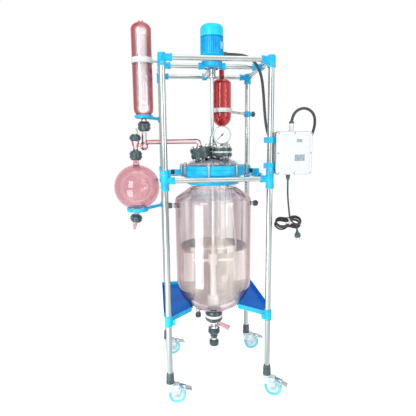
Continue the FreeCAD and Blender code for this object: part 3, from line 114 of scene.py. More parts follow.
# Glasses: colours from the wall that faces you, 0, to the wall that turns away, 1, and what differs from
# glass(). The glass is clear. The darker and redder colours towards 1 are painted reflection of a red
# backdrop, and painted shade where a wall is seen edge-on.
glasses = {
    # clearGlass: its red-brown and near-black rim is painted reflection of a red backdrop and painted shade;
    # its vertical streaks are painted reflection streaks
    "clearGlass": ([(0.0, (0.955, 0.935, 0.940)), (0.36, (0.955, 0.935, 0.940)),
                    (0.56, (0.86, 0.80, 0.82)),
                    (0.70, (0.50, 0.24, 0.22)), (0.95, (0.16, 0.03, 0.03))],
                   {"reflectionStreak": (0.76, 0.69, 0.72), "scale": 17, "stretch": 0.05}),
    # lidGlass: greyer than the clear glass all over, as painted dark reflection
    "lidGlass": ([(0.0, (0.74, 0.74, 0.76)), (0.4, (0.74, 0.74, 0.76)), (0.7, (0.50, 0.50, 0.53)),
                  (1.0, (0.16, 0.14, 0.16))],
                 {"reflectionStreak": (0.80, 0.80, 0.83), "scale": 20}),
    "innerGlass": ([(0.0, (0.97, 0.965, 0.955)), (0.5, (0.97, 0.965, 0.955)),
                    (0.85, (0.90, 0.89, 0.88)),
                    (1.0, (0.46, 0.44, 0.36))], {"reflectionStreak": (0.95, 0.95, 0.93), "stretch": 0.05}),
    # condenser and head: clear glass whose rose to deep red rim is painted reflection of a red backdrop
    "redReflectRimGlass": ([(0.0, (0.955, 0.94, 0.945)), (0.09, (0.955, 0.94, 0.945)),
                   (0.25, (0.66, 0.16, 0.18)),
                   (0.8, (0.34, 0.02, 0.03))], {}),
    # funnel: clear glass painted red all over as painted reflection of a red backdrop, darker at the rim as
    # painted shade
    "redReflectGlass": ([(0.0, (0.90, 0.23, 0.25)), (0.5, (0.78, 0.15, 0.16)), (1.0, (0.26, 0.01, 0.02))],
                  {"reflectionStreak": (0.55, 0.40, 0.42), "scale": 46, "stretch": 0.03}),
    # flaskGlass: clear glass; the rose colour is painted reflection of a red backdrop, the paler band at 0.25
    # a painted reflection ring, and the dark red rim painted shade
    "flaskGlass": ([(0.0, (0.83, 0.57, 0.60)), (0.20, (0.83, 0.57, 0.60)), (0.25, (0.94, 0.76, 0.78)),
                    (0.30, (0.83, 0.57, 0.60)), (0.62, (0.70, 0.36, 0.40)), (1.0, (0.36, 0.06, 0.09))],
                    {}),
    # coilGlass: its dark rim is painted shade between the turns of the coil
    "coilGlass": ([(0.0, (0.97, 0.97, 0.97)), (0.4, (0.80, 0.78, 0.80)), (1.0, (0.24, 0.18, 0.20))],
                  {"milk": 0.20}),
    "liquidBody": ([(0.0, (0.975, 0.975, 0.965)), (0.6, (0.975, 0.975, 0.965)),
                    (1.0, (0.62, 0.70, 0.44))],
                   {"reflectionStreak": (0.93, 0.90, 0.90), "ior": 1.33, "relief": 0.05, "scale": 6,
                    "depth": (0.60, 0.54, 0.47)}),
}


def feed(tree, made, values):
    # Gives a node its inputs: plain values, or the outputs that feed them.
    for key, value in values.items():
        if isinstance(value, bpy.types.NodeSocket):
            tree.links.new(value, made.inputs[key])
        else:
            made.inputs[key].default_value = value


def node(tree, kind, values={}, **settings):
    made = tree.nodes.new("ShaderNode" + kind)
    for key, value in settings.items():
        setattr(made, key, value)
    feed(tree, made, values)
    return made


def ramp(tree, factor, bands):
    made = node(tree, "ValToRGB", {"Fac": factor})
    stops = made.color_ramp.elements
    for stop, (place, colour) in zip(stops, (bands[0], bands[-1])):
        stop.position, stop.color = place, (*colour, 1)
    for place, colour in bands[1:-1]:
        stops.new(place).color = (*colour, 1)
    return made.outputs["Color"]


def multiplied(tree, colour, other, factor):
    mix = node(tree, "Mix", {"Factor": factor, "A": colour, "B": other}, data_type="RGBA",
               blend_type="MULTIPLY")
    return mix.outputs["Result"]


def grainGroup():
    # Fine unevenness that all finishes share: a factor for colour and gloss, and a bumped normal.
    group = bpy.data.node_groups.new("grain", "ShaderNodeTree")
    for name, value in (("Scale", 40.0), ("Stretch", 1.0), ("Relief", 0.1)):
        socket = group.interface.new_socket(name, in_out="INPUT", socket_type="NodeSocketFloat")
        socket.default_value = value
    for name, kind in (("Factor", "Float"), ("Normal", "Vector")):
        group.interface.new_socket(name, in_out="OUTPUT", socket_type="NodeSocket" + kind)
    given, result = group.nodes.new("NodeGroupInput").outputs, group.nodes.new("NodeGroupOutput")
    place = node(group, "TexCoord").outputs["Object"]
    shrink = node(group, "CombineXYZ", {"X": 1.0, "Y": 1.0, "Z": given["Stretch"]}).outputs["Vector"]
    scaled = node(group, "VectorMath", {0: place, 1: shrink}, operation="MULTIPLY").outputs["Vector"]
    noise = node(group, "TexNoise", {"Vector": scaled, "Scale": given["Scale"],
                                     "Detail": 4.0}).outputs["Fac"]
    bump = node(group, "Bump", {"Height": noise, "Strength": given["Relief"], "Distance": 0.0006})
    feed(group, result, {"Factor": noise, "Normal": bump.outputs["Normal"]})
    return group


grain = grainGroup()
materials = {}


def grained(name, scale, stretch, relief):
    # A new material, its tree, its shader and its grain.
    made = materials[name] = bpy.data.materials.new(name)
    made.use_nodes = True
    tree = made.node_tree
    wander = node(tree, "Group", {"Scale": scale, "Stretch": stretch, "Relief": relief},
                  node_tree=grain).outputs
    shader = tree.nodes["Principled BSDF"]
    feed(tree, shader, {"Normal": wander["Normal"]})
    return made, tree, shader, wander["Factor"]


def surface(name, dark, light, rough, scale, relief, stretch=1.0, metallic=0.0, coat=0.0, specular=0.5):
    # An opaque finish whose colour and gloss wander a little over the piece.
    made, tree, shader, wander = grained(name, scale, stretch, relief)
    gloss = node(tree, "MapRange", {"Value": wander, "To Min": rough[0],
                                    "To Max": rough[1]}).outputs["Result"]
    feed(tree, shader, {"Base Color": ramp(tree, wander, [(0.32, dark), (0.68, light)]),
                        "Roughness": gloss,
                        "Metallic": metallic, "Coat Weight": coat, "Specular IOR Level": specular})
    return made


def glass(name, bands, reflectionStreak=None, ior=1.47, relief=0.02, scale=9.0, stretch=1.0, milk=0.0,
          depth=None):
    # Blown glass. bands colour it by how far a wall turns away; their darker, redder end is painted
    # reflection and painted shade. reflectionStreak is a painted reflection, a second colour that the first
    # wanders into, milk is how cloudy the glass is, and depth is what light that leaves through the far side
    # has turned into on its way.
    tree, shader, wander = grained(name, scale, stretch, relief)[1:]
    # painted reflection and painted shade: darker and redder where the wall is seen edge-on
    tint = ramp(tree, node(tree, "LayerWeight", {"Blend": 0.5}).outputs["Facing"], bands)
    # painted reflection streaks
    if reflectionStreak:
        tint = multiplied(tree, tint, ramp(tree, wander, [(0.42, reflectionStreak), (0.60, (1, 1, 1))]), 1.0)
    if depth:
        tint = multiplied(tree, tint, (*depth, 1), node(tree, "NewGeometry").outputs["Backfacing"])
    # a shadow ray meets almost clear glass, so that the lamps reach what stands in it
    shadow = node(tree, "LightPath").outputs["Is Shadow Ray"]
    solid = node(tree, "Math", {0: shadow, 1: -0.95, 2: 1.0}, operation="MULTIPLY_ADD").outputs["Value"]
    feed(tree, shader, {"Base Color": tint, "Roughness": 0.0, "Metallic": 0.0,
                        "Transmission Weight": 1.0 - milk,
                        "Alpha": solid, "IOR": ior})


for name, (slot, *values, options) in finishes.items():
    surface(name, *values, **options)
for name, (bands, options) in glasses.items():
    glass(name, bands, **options)
print("materials made")


class Shape:
    # Vertices and faces that are gathered before they become one piece.

    def __init__(self, verts=(), faces=()):
        self.verts, self.faces = [Vector(v) for v in verts], list(faces)

    def joined(self, other, matrix=None):
        base = len(self.verts)
        self.verts += [matrix @ v if matrix else v.copy() for v in other.verts]
        self.faces += [[base + i for i in face] for face in other.faces]
        return self

    def moved(self, matrix):
        return Shape().joined(self, matrix)

    def ribbed(self, count, rib, place=Matrix.Identity(4), offset=0.0):
        # The same rib at even turns round the axis of place.
        for k in range(count):
            self.joined(rib, place @ Matrix.Rotation(2 * pi * (k + offset) / count, 4, "Z"))
        return self

    def piece(self, name, finish, *stands, body="frame"):
        # The finished piece on its body, in place of the CAD nodes that stands names.
        mesh = bpy.data.meshes.new(name)
        mesh.from_pydata([tuple(v * mm) for v in self.verts], [], self.faces)
        mesh.validate()
        for face in mesh.polygons:
            face.use_smooth = True
        mesh.set_sharp_from_angle(angle=radians(38))
        mesh.materials.append(materials[finish])
        obj = bpy.data.objects.new(name, mesh)
        scene.collection.objects.link(obj)
        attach(obj, body)
        if stands:
            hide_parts(*stands)
        return obj


def shifted(x, y, z=0):
    return Matrix.Translation((x, y, z))


def alignTo(start, direction):
    turn = Vector((0, 0, 1)).rotation_difference(Vector(direction)).to_matrix().to_4x4()
    return Matrix.Translation(Vector(start)) @ turn


def circle(count):
    return [2 * pi * k / count for k in range(count)]


def strips(rows, sides, closed=False):
    # Faces between rows of points that run round a form.
    pairs = [(k * sides, (k + 1) % rows * sides) for k in range(rows if closed else rows - 1)]
    return [[a + j, a + (j + 1) % sides, b + (j + 1) % sides, b + j]
            for a, b in pairs for j in range(sides)]


def bent(first, corner, last, steps):
    # Points along a curve from first to last that would meet in corner.
    parts = [k / steps for k in range(steps + 1)]
    return [first * (1 - t) ** 2 + corner * 2 * t * (1 - t) + last * t * t for t in parts]


def rounded(points, steps=4, ring=False):
    # Outline points (r, z). An optional third number is the length that the corner is rounded over.
    out, count = [], len(points)
    for i, (*p, cut) in enumerate(p if len(p) > 2 else (*p, 0.0) for p in points):
        if not cut or (not ring and i in (0, count - 1)):
            out.append(tuple(p))
            continue
        here = Vector(p)
        before, after = Vector(points[i - 1][:2]) - here, Vector(points[(i + 1) % count][:2]) - here
        reach = min(cut, 0.49 * before.length, 0.49 * after.length)
        out += [tuple(v) for v in bent(here + before.normalized() * reach, here,
                                       here + after.normalized() * reach, steps)]
    return out


def rounding(points, radius, steps=10):
    # Close points along straight runs whose corners are rounded over radius.
    points = [Vector(p) for p in points]
    out = [points[0]]
    for a, b, c in zip(points, points[1:], points[2:]):
        reach = min(radius, 0.48 * (a - b).length, 0.48 * (c - b).length)
        out += bent(b + (a - b).normalized() * reach, b, b + (c - b).normalized() * reach, steps)
    return out + [points[-1]]


def turned(points, sides, ring=False, steps=4, at=None):
    # A turned shape from an outline. ring closes the outline into itself, for a hollow piece.
    shape, rows = Shape(), []
    for r, z in rounded(points, steps, ring):
        base = len(shape.verts)
        if r < 1e-6:
            rows.append([base] * sides)
            shape.verts.append(Vector((0, 0, z)))
        else:
            rows.append(list(range(base, base + sides)))
            shape.verts += [Vector((r * cos(a), r * sin(a), z)) for a in circle(sides)]
    for low, high in zip(rows, rows[1:] + rows[:1] if ring else rows[1:]):
        for k in range(sides):
            after = (k + 1) % sides
            face = list(dict.fromkeys((low[k], low[after], high[after], high[k])))
            if len(face) > 2:
                shape.faces.append(face)
    if not ring:
        shape.faces += [row for row in (rows[0][::-1], rows[-1]) if row[0] != row[1]]
    return shape.moved(shifted(*at)) if at else shape


def tube(points, sides, at=None, steps=4):
    return turned(points, sides, True, steps, at)


def collar(at, low, high, outer, inner=0, edge=3, sides=44):
    # An upright disc or ring round at.
    points = [(inner, low), (outer, low, edge), (outer, high, edge), (inner, high)]
    return turned(points, sides, inner > 0, at=at)


def bar(start, end, radius, sides=32, edge=0.0):
    return hollow(start, end, radius, 0, sides, edge)


def hollow(start, end, outer, inner, sides, edge=0.0):
    axis = Vector(end) - Vector(start)
    return collar(None, 0, axis.length, outer, inner, edge, sides).moved(alignTo(start, axis))


def prism(outline, low, high, matrix=None, edge=0.0):
    # A flat outline drawn up from low to high, with its rims chamfered by edge.
    count = len(outline)
    middle = sum((Vector(p) for p in outline), Vector((0, 0))) / count
    layers = [(low, edge), (low + edge, 0), (high - edge, 0), (high, edge)]
    if not edge:
        layers = [(low, 0), (high, 0)]
    verts = []
    for z, inset in layers:
        for p in (Vector(p) for p in outline):
            verts.append((*(p + (middle - p).normalized() * inset if inset else p), z))
    faces = [list(range(count))[::-1], list(range(len(verts) - count,
                                                  len(verts)))] + strips(len(layers), count)
    return Shape(verts, faces).moved(matrix)


def roundedBox(one, other, corner, axis="Z", edge=1.0, steps=5):
    # A box between two corners, whose x may come in either order, with soft rims.
    # The four edges along axis are rounded by corner.
    low, high = (min(one[0], other[0]), *one[1:]), (max(one[0], other[0]), *other[1:])
    a, b, c = {"Z": (0, 1, 2), "Y": (0, 2, 1), "X": (1, 2, 0)}[axis]
    points = [(low[a], low[b], corner), (high[a], low[b], corner), (high[a], high[b], corner),
              (low[a], high[b], corner)]
    made = prism(rounded(points, steps, ring=True), low[c], high[c], None, edge)
    for v in made.verts:
        v[a], v[b], v[c] = v[:]
    if axis == "Y":
        made.faces = [face[::-1] for face in made.faces]
    return made


def hexagon(at, direction, across, height, edge=1.0):
    outline = [(across / 2 * cos(radians(60 * k)), across / 2 * sin(radians(60 * k))) for k in range(6)]
    return prism(outline, 0, height, alignTo(at, direction), edge)


def capScrew(at, direction, radius, height):
    # A socket head screw.
    socket = [(radius * 0.55, height), (radius * 0.5, height * 0.45), (0, height * 0.45)]
    return turned([(0, 0), (radius, 0), (radius, height, 0.8)] + socket,
                  20).moved(alignTo(at, direction))


def sweep(points, radius, sides, caps=True):
    # A round bar along close points.
    points = [Vector(p) for p in points]
    verts, normal = [], None
    for i, p in enumerate(points):
        heading = (points[min(i + 1, len(points) - 1)] - points[max(i - 1, 0)]).normalized()
        if normal is None:
            normal = heading.orthogonal().normalized()
        normal = (normal - heading * normal.dot(heading)).normalized()
        side = heading.cross(normal)
        verts += [p + (normal * cos(a) + side * sin(a)) * radius for a in circle(sides)]
    faces = strips(len(points), sides)
    if caps:
        faces += [list(range(sides))[::-1], list(range(len(verts) - sides, len(verts)))]
    return Shape(verts, faces)


def quarter(radius, base, rise, end, steps=18):
    # Outline points along a quarter ellipse from (radius, base) inwards to radius end.
    last = acos(end / radius)
    return [(radius * cos(last * i / steps),
             base + rise * sin(last * i / steps)) for i in range(steps + 1)]


def dress(part, finish, sharp=32.0):
    # A CAD node that is shown as it is, with a finish.
    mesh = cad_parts[part].data
    mesh.materials.clear()
    mesh.materials.append(materials[finish])
    for face in mesh.polygons:
        face.use_smooth = True
        face.material_index = 0
    mesh.set_sharp_from_angle(angle=radians(sharp))
    return mesh


# Cords
cords = {
    "conduitRadius": 7.5,
    "leadRadius": 4.5,
    "conduit": [
        (84, 0, 1936), (134, 0, 1936), (190, -20, 1925), (232, -62, 1882), (252, -104, 1812),
        (256, -130, 1730),
        (259, -143, 1645), (268, -138, 1562), (292, -110, 1490), (340, -97, 1432), (410, -95, 1410),
        (490, -96, 1420),
        (542, -104, 1475), (556, -124, 1545), (540, -146, 1604), (484, -168, 1634), (424, -188, 1620),
        (394, -195, 1576),
        (394, -195, 1537),
    ],
    "lead": [
        (381, -195, 1251), (381, -195, 1212), (382, -194, 1172), (385, -196, 1132), (387, -203, 1094),
        (387, -214, 1068),
    ],
    "plug": (441, -195, 967),
}
hank = {
    "middle": (387.0, -195.0, 1015.0),
    "turns": 4,
    "lobe": 36.5,          # from the tie to the middle of a lobe
    "lobeChange": 3.0,     # how much that wanders from turn to turn
    "tilt": 5.0,
    "bend": 34.5,          # radius of a turn's end
    "waist": 17.0,         # half the height at the tie
    "layer": 9.0,
    "slope": 55.0,         # how far the coil lies back, in degrees
    "spacing": 12.0,
}


def spaced(points, gap):
    # The same path with points at even distances.
    runs = [(Vector(b) - Vector(a)).length for a, b in zip(points, points[1:])]
    count = max(2, round(sum(runs) / gap))
    out = []
    for k in range(count + 1):
        left = k * sum(runs) / count
        for i, run in enumerate(runs):
            if left <= run or i == len(runs) - 1:
                out.append(Vector(points[i]).lerp(Vector(points[i + 1]), min(1.0, left / run)))
                break
            left -= run
    return out


def softened(points, reach):
    # Each point moved to the mean of its neighbours, so that the turns run into each other.
    out = []
    for i in range(len(points)):
        r = min(reach, i, len(points) - 1 - i)
        out.append(sum(points[i - r:i + r + 1], Vector()) / (2 * r + 1))
    return out


def hankPoints():
    # The spare lead: turns of slightly different sizes that lie back and are drawn together in the middle.
    h = hank
    bend, waist, ease = h["bend"], h["waist"], 3.4
    slope = Matrix.Rotation(radians(-h["slope"]), 3, "X")
    points = [(0, -22, 40), (0, -33, 24), (7, -42, 10), (22, -46, -2)]
    outline = [(1, a) for a in range(-80, 81, 10)] + [(0, u) for u in range(3, -4, -1)]
    outline += [(-1, a) for a in range(80, -81, -10)] + [(2, u) for u in range(-3, 4)]
    for turn in range(h["turns"]):
        for k, (part, value) in enumerate(outline):
            if turn == h["turns"] - 1 and part == 2 and value > -2:
                break
            whole = turn + k / len(outline)
            lobe = h["lobe"] + h["lobeChange"] * sin(2.1 * whole)
            lean = radians(h["tilt"] * sin(1.7 * whole + 0.5))
            if part in (1, -1):
                a = radians(value)
                x, z = part * (lobe + bend * cos(a)), bend * sin(a)
            else:
                x = lobe * value / ease
                z = (1 if part == 0 else -1) * (waist + (bend - waist) * (1 - cos(pi * value / ease)) / 2)
            depth = (whole - h["turns"] / 2) * h["layer"]
            flat = Vector((x * cos(lean) - z * sin(lean), depth, x * sin(lean) + z * cos(lean)))
            points.append(slope @ flat)
    points += [(-14, -9, -26.5), (-3, -6, -20)]
    down = [radians(12 * k - 28) for k in range(11)]
    points += [(23.5 + 30.5 * sin(a), -2, 30.5 * cos(a) - 40.5) for a in down]
    points.append(Vector(cords["plug"]) - Vector(h["middle"]))
    return [Vector(h["middle"]) + Vector(p) for p in points]


def cordCurve(name, points, radius, finish):
    data = bpy.data.curves.new(name, "CURVE")
    data.dimensions = "3D"
    data.bevel_depth = radius * mm
    data.bevel_resolution = 6
    data.use_fill_caps = True
    data.resolution_u = 16
    spline = data.splines.new("NURBS")
    spline.points.add(len(points) - 1)
    for point, at in zip(spline.points, points):
        point.co = (*(Vector(at) * mm), 1)
    spline.order_u = 3
    spline.use_endpoint_u = True
    data.materials.append(materials[finish])
    obj = bpy.data.objects.new(name, data)
    scene.collection.objects.link(obj)
    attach(obj, "frame")
    return obj


def runLength(obj):
    # The length of a curve as it is drawn, in metres.
    depth, obj.data.bevel_depth = obj.data.bevel_depth, 0
    line = bpy.data.meshes.new_from_object(obj.evaluated_get(bpy.context.evaluated_depsgraph_get()))
    obj.data.bevel_depth = depth
    return sum((line.vertices[e.vertices[0]].co - line.vertices[e.vertices[1]].co).length for e in line.edges)


def makeCords():
    # The conduit from the motor to the box, and the mains lead with its hank and plug.
    conduit = cordCurve("conduit", cords["conduit"], cords["conduitRadius"], "conduitSkin")
    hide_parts("power_conduit")
    runLength(conduit)
    path = [Vector(p) for p in cords["lead"]] + hankPoints()
    path = spaced(softened(softened(spaced(path, 3), 5), 5), hank["spacing"])
    lead = cordCurve("lead", path, cords["leadRadius"], "leadSkin")
    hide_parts("mains_lead", "lead_hank")

    top = Vector(cords["plug"])
    heading = top - path[-2]
    place = alignTo(top, heading)
    length = 38
    plug = turned([(0, 0), (6.5, 0, 1), (7, 4, 1), (9, 10, 3), (17, 20, 4), (17, length - 4, 3),
                   (15, length, 2), (0, length)], 44)
    for z in (3, 6, 9):
        plug.joined(tube([(5, z - 1), (8.2, z - 0.8, 0.5), (8.2, z + 0.8, 0.5), (5, z + 1)], 28))
    plugBody = plug.moved(place).piece("plugBody", "blackPlastic", "mains_plug")
    pins = Shape()
    for side in (-9.5, 9.5):
        pins.joined(bar((0, side, length), (0, side, length + 19), 2.4, 20, 1), place)
    plugPins = pins.piece("plugPins", "steel")

    slope = Matrix.Rotation(radians(-hank["slope"]), 3, "X")
    middle, rows = Vector(hank["middle"]), []
    for a in circle(40):
        for out, across in ((0, -4), (0, 4), (1.6, 4), (1.6, -4)):
            rows.append(middle + slope @ Vector((across, (27 + out) * cos(a), (21 + out) * sin(a))))
    tie = Shape(rows, strips(40, 4, closed=True))
    tie.joined(roundedBox(middle - Vector((4, 33, 5)), middle + Vector((4, -28, 5)), 1.5, "Y", 0.8))
    leadTie = tie.piece("leadTie", "ptfe")
    runLength(lead)


makeCords()
print("cords made")

# Tube frame
tubes = {
    "side": 280,
    "front": -195,
    "back": 323,
    "railRadius": 13.0,
    "topRail": 1870.0,
    "ringRail": 1258.0,
    "sleeve": 21.0,
    "sleeveLip": 1.2,
    "arm": 17.5,
    "armReach": 52.0,
    "armLip": 1.6,
    "lowClamps": (458, 518),
    "boxClamps": (1329, 1463),
}
posts = {
    "front_left": (-tubes["side"], tubes["front"]),
    "front_right": (tubes["side"], tubes["front"]),
    "back_right": (tubes["side"], tubes["back"]),
    "back_left": (-tubes["side"], tubes["back"]),
}


def armOf(shape, x, y, z, dx, dy):
    # A rail arm of a casting with a thicker lip.
    t = tubes
    start, end = Vector((x, y, z)), Vector((x + dx, y + dy, z))
    heading = (end - start).normalized()
    shape.joined(bar(start, end - heading * 2, t["arm"], 36))
    shape.joined(hollow(end - heading * 12, end, t["arm"] + t["armLip"], t["railRadius"] + 0.4, 36,
                        2.0))


def makeFittings():
    t = tubes
    top, ring, sleeve = t["topRail"], t["ringRail"], t["sleeve"]
    lip, arm = sleeve + t["sleeveLip"], t["armReach"]
    shape, screws = Shape(), Shape()
    for x, y in posts.values():
        outX, outY = copysign(1, x), copysign(1, y)
        points = [(0, top - 40), (lip, top - 40, 2), (lip, top - 28, 2), (sleeve, top - 26),
                  (sleeve, top + 23, 11), (0, top + 23)]
        shape.joined(turned(points, 44, at=(x, y)))
        armOf(shape, x, y, top, -outX * arm, 0)
        armOf(shape, x, y, top, 0, -outY * arm)
        points = [(0, ring - 52), (lip, ring - 52, 2), (lip, ring - 40, 2), (sleeve, ring - 38)]
        points += [(sleeve, ring + 38), (lip, ring + 40, 2), (lip, ring + 52, 2), (0, ring + 52)]
        shape.joined(turned(points, 44, at=(x, y)))
        armOf(shape, x, y, ring, -outX * arm, 0)
        armOf(shape, x, y, ring, 0, -outY * arm)
        for z in (top - 28, ring - 34, ring + 34):
            screws.joined(capScrew((x, y + outY * (sleeve - 1), z), (0, outY, 0), 4.5, 5))
        for z in (ring - 34, ring + 34):
            screws.joined(capScrew((x + outX * (sleeve - 1), y, z), (outX, 0, 0), 4.5, 5))
        low, high = t["lowClamps"]
        shape.joined(collar((x, y), low, high, sleeve))
        shape.joined(roundedBox((x, y - 8, low + 6), (x - 35 * outX, y + 8, high - 22.5), 4, "Y", 1))
    for side in (-1, 1):
        x = side * t["side"]
        shape.joined(bar((x, -28, top), (x, 28, top), t["railRadius"] + 6, 40, 2.5))
        armOf(shape, x, 0, top, -side * arm, 0)
        for y in (-16, 16):
            screws.joined(capScrew((x, y, top + 18), (0, 0, 1), 4.5, 5))
    x, y = posts["front_right"]
    for z in t["boxClamps"]:
        shape.joined(collar((x, y), z - 16, z + 16, sleeve + 1))
        shape.joined(roundedBox((x - 34, y - 9, z - 15), (x + 23, y + 9, z + 15), 5, "Y", 1.2))
        screws.joined(capScrew((x - 28, y - 8, z), (0, -1, 0), 5, 7))
    shape.piece("frameCastings", "casting", "frame_fittings")
    screws.piece("frameScrews", "steel")
    dress("posts", "steel")
    dress("frame_rails", "railSteel")


makeFittings()
print("frame made")

# Motor, its mount and the coupling
drive = {
    "hubRadius": 53.0,
    "hubFoot": 1862.0,
    "hubTop": 1888.0,
    "mountReach": 75,
    "flange": 10.0,
    "bodyRadius": 59.0,
    "gland": 1936.0,
    "seam": 2018.0,
    "top": 2084.0,
    "capRadius": 63.5,
    "fins": 40,
    "plateTurn": 52,
    "coupling": (1808.0, 1852.0),
    "couplingRadius": 20.0,
}


def makeDrive():
    d, t = drive, tubes
    rail, back, reach = t["topRail"], t["back"], d["mountReach"]
    foot, flange, seam, top = d["hubTop"], d["hubTop"] + d["flange"], d["seam"], d["top"]
    r, wide = d["bodyRadius"], d["capRadius"]
    mount = collar(None, d["hubFoot"], foot, d["hubRadius"], 10.1, sides=72)
    for dx, dy in ((-reach, 0), (reach, 0), (0, reach)):
        end, heading = Vector((dx, dy, rail)), Vector((dx, dy, 0)).normalized()
        mount.joined(bar((0.6 * dx, 0.6 * dy, rail), end, t["arm"], 40, 2))
        mount.joined(hollow(end - heading * 11, end, t["arm"] + t["armLip"], t["railRadius"] + 0.3, 40,
                            2))
    mount.joined(bar((-15, back, rail), (15, back, rail), 21, 40, 2.5))
    mount.joined(bar((0, back, rail), (0, back - 22, rail), t["arm"], 40, 2))
    mount.piece("motorMount", "casting", "motor_mount")

    motor = turned([(0, foot), (57, foot, 1.5), (57, flange, 2), (45, flange + 3, 3),
                    (44, flange + 20, 4), (r, flange + 29, 3),
                    (r, seam), (0, seam)], 96)
    motor.ribbed(d["fins"], roundedBox((r - 3, -1.5, flange + 33), (wide - 0.4, 1.5, seam - 4), 2, "Y",
                                       0.5, 3), offset=0.5)
    motor.joined(bar((45, 0, d["gland"]), (66, 0, d["gland"]), 13, 36, 1.5))
    aside = Matrix.Rotation(radians(d["plateTurn"]), 4, "Z")
    motor.joined(roundedBox((-16, -wide - 2, 1950), (16, -50, 1992), 3, "Y", 1), aside)
    motor.piece("motorBody", "casting", "motor_housing")
    roundedBox((-12, -wide - 2.8, 1954), (12, -wide - 1.6, 1988), 2, "Y",
               0.3).moved(aside).piece("motorPlate", "zinc")

    cap = [(0, seam + 1.4), (wide - 1, seam + 1.4), (wide, seam + 2.5), (wide, top - 22)]
    arc = [radians(9 * k) for k in range(1, 11)]
    cap += [(wide - 24 * (1 - cos(a)), top - 24 + 24 * sin(a)) for a in arc]
    hood = turned(cap + [(26, top), (25, top - 1.5), (0, top - 1.5)], 96)
    for ridge in (8, 15, 22):
        hood.joined(tube([(ridge - 1.2, top - 2), (ridge - 1.2, top), (ridge + 1.2, top),
                          (ridge + 1.2, top - 2)], 48))
    # the cap in the lighter blue: painted light
    hood.piece("motorHood", "litHoodPaint", "motor_cap")
    tube([(50, seam - 2), (r + 2.5, seam - 2), (r + 2.5, seam + 1.3), (50, seam + 1.3)],
         96).piece("motorSeam", "seamAndShadeBlue")

    bolts = Shape()
    for a in (radians(45 + 90 * k) for k in range(4)):
        x, y = 44 * cos(a), 44 * sin(a)
        bolts.joined(hexagon((x, y, d["hubFoot"]), (0, 0, -1), 14, 6))
        bolts.joined(hexagon((x, y, flange), (0, 0, 1), 12, 6))
        bolts.joined(capScrew((wide * cos(a) * 0.985, wide * sin(a) * 0.985, seam + 9),
                              (cos(a), sin(a), 0), 3.2, 3))
    bolts.piece("motorBolts", "steel")

    low, high = d["coupling"]
    r = d["couplingRadius"]
    coupling = turned([(0, low), (r - 1, low, 1), (r, low + 2, 1), (r, low + 20), (r - 3, low + 21),
                       (r - 3, low + 24), (r, low + 25),
                       (r, high - 1, 1), (10, high, 0.5), (10, foot - 1), (0, foot - 1)], 56)
    for z in (low + 10, high - 9):
        for side in (-1, 1):
            coupling.joined(capScrew((side * 11, -r + 3, z), (0, -1, 0), 3.2, 4))
    coupling.piece("driveCoupling", "steel", "drive_coupling", body="stirrer")


makeDrive()
print("drive made")

# Stirrer with its seal
stirrer = {
    "shaftRadius": 9.0,
    "coatTop": 1372.0,
    "hub": (751.0, 825.0),
    "hubRadius": 22.0,
    "sheath": 15.0,
    "foot": (508.0, 584.0),
    "footRadius": 27.0,
    "armHeight": 775.0,
    "blade": {"x": (88.0, 142.0), "z": (650.0, 820.0), "thick": 9.0},
    "seal": (1392.0, 1492.0),
}


def makeStirrer():
    s = stirrer
    shaft, sheath, hub, wide = s["shaftRadius"], s["sheath"], s["hubRadius"], s["footRadius"]
    coat = s["coatTop"]
    upper = bar((0, 0, coat), (0, 0, drive["coupling"][0]), shaft, 40)
    upper.piece("shaftTop", "steel", "stirrer_shaft", body="stirrer")
    (low, high), (hubLow, hubHigh) = s["foot"], s["hub"]
    spine = turned([(0, low), (wide - 8, low, 3), (wide, low + 8, 4), (wide, high, 4),
                    (sheath, high, 3), (sheath, hubLow, 3),
                    (hub, hubLow, 4), (hub, hubHigh, 5), (shaft, hubHigh, 2), (shaft, coat), (0, coat)],
                    56)
    b = s["blade"]
    (x0, x1), (z0, z1), half = b["x"], b["z"], b["thick"] / 2
    spine.joined(bar((-x0 - 6, 0, s["armHeight"]), (x0 + 6, 0, s["armHeight"]), 9, 32))
    spine.ribbed(2, roundedBox((x0, -half, z0), (x1, half, z1), 9, "Y", 1.5))
    # the paddle in the lighter PTFE: painted light
    spine.piece("paddle", "litPaddleWhite", "stirrer_paddle", body="stirrer")

    low, high = s["seal"]
    seal = tube([(9.15, low), (30, low, 2), (30, low + 13, 2), (25, low + 15, 2), (25, low + 30),
                 (27, low + 31, 1),
                 (27, low + 38, 1), (25, low + 39), (25, high - 46, 3), (20, high - 40, 2),
                 (13.5, high, 2), (9.15, high)], 64)
    seal.piece("sealBody", "steel", "shaft_seal")


makeStirrer()
print("stirrer made")

# Glass lid with its necks
lid = {
    "radius": 150.0,
    "flange": 170.0,
    "foot": 1307.0,
    "flangeTop": 1322.0,
    "rise": 54.0,
    "wall": 6.0,
    "centre": 24.0,
    "centreTop": 1392.0,
    "neckTop": 1400.0,
    "left": (-77.0, -68.0),
    "leftLean": 10.0,
    "right": (41.0, -80.0),
    "funnel": (70.0, 92.0),
    "probe": (88.0, 25.0),
}


def alongLeft(distance):
    lean = radians(lid["leftLean"])
    base = Vector((lid["left"][0], lid["left"][1], lid["neckTop"]))
    return base + Vector((-sin(lean), 0, cos(lean))) * distance


def flangedNeck(shape, foot, top, radius, wall):
    # A glass neck with a flared foot and a ground lip.
    length = (Vector(top) - Vector(foot)).length
    points = [(radius - wall, 0), (radius + 4, 0, 3), (radius, 9, 5), (radius, length - 8, 2),
              (radius + 4, length - 5, 2),
              (radius + 4, length, 2), (radius - wall, length, 2)]
    shape.joined(tube(points, 56), alignTo(foot, Vector(top) - Vector(foot)))


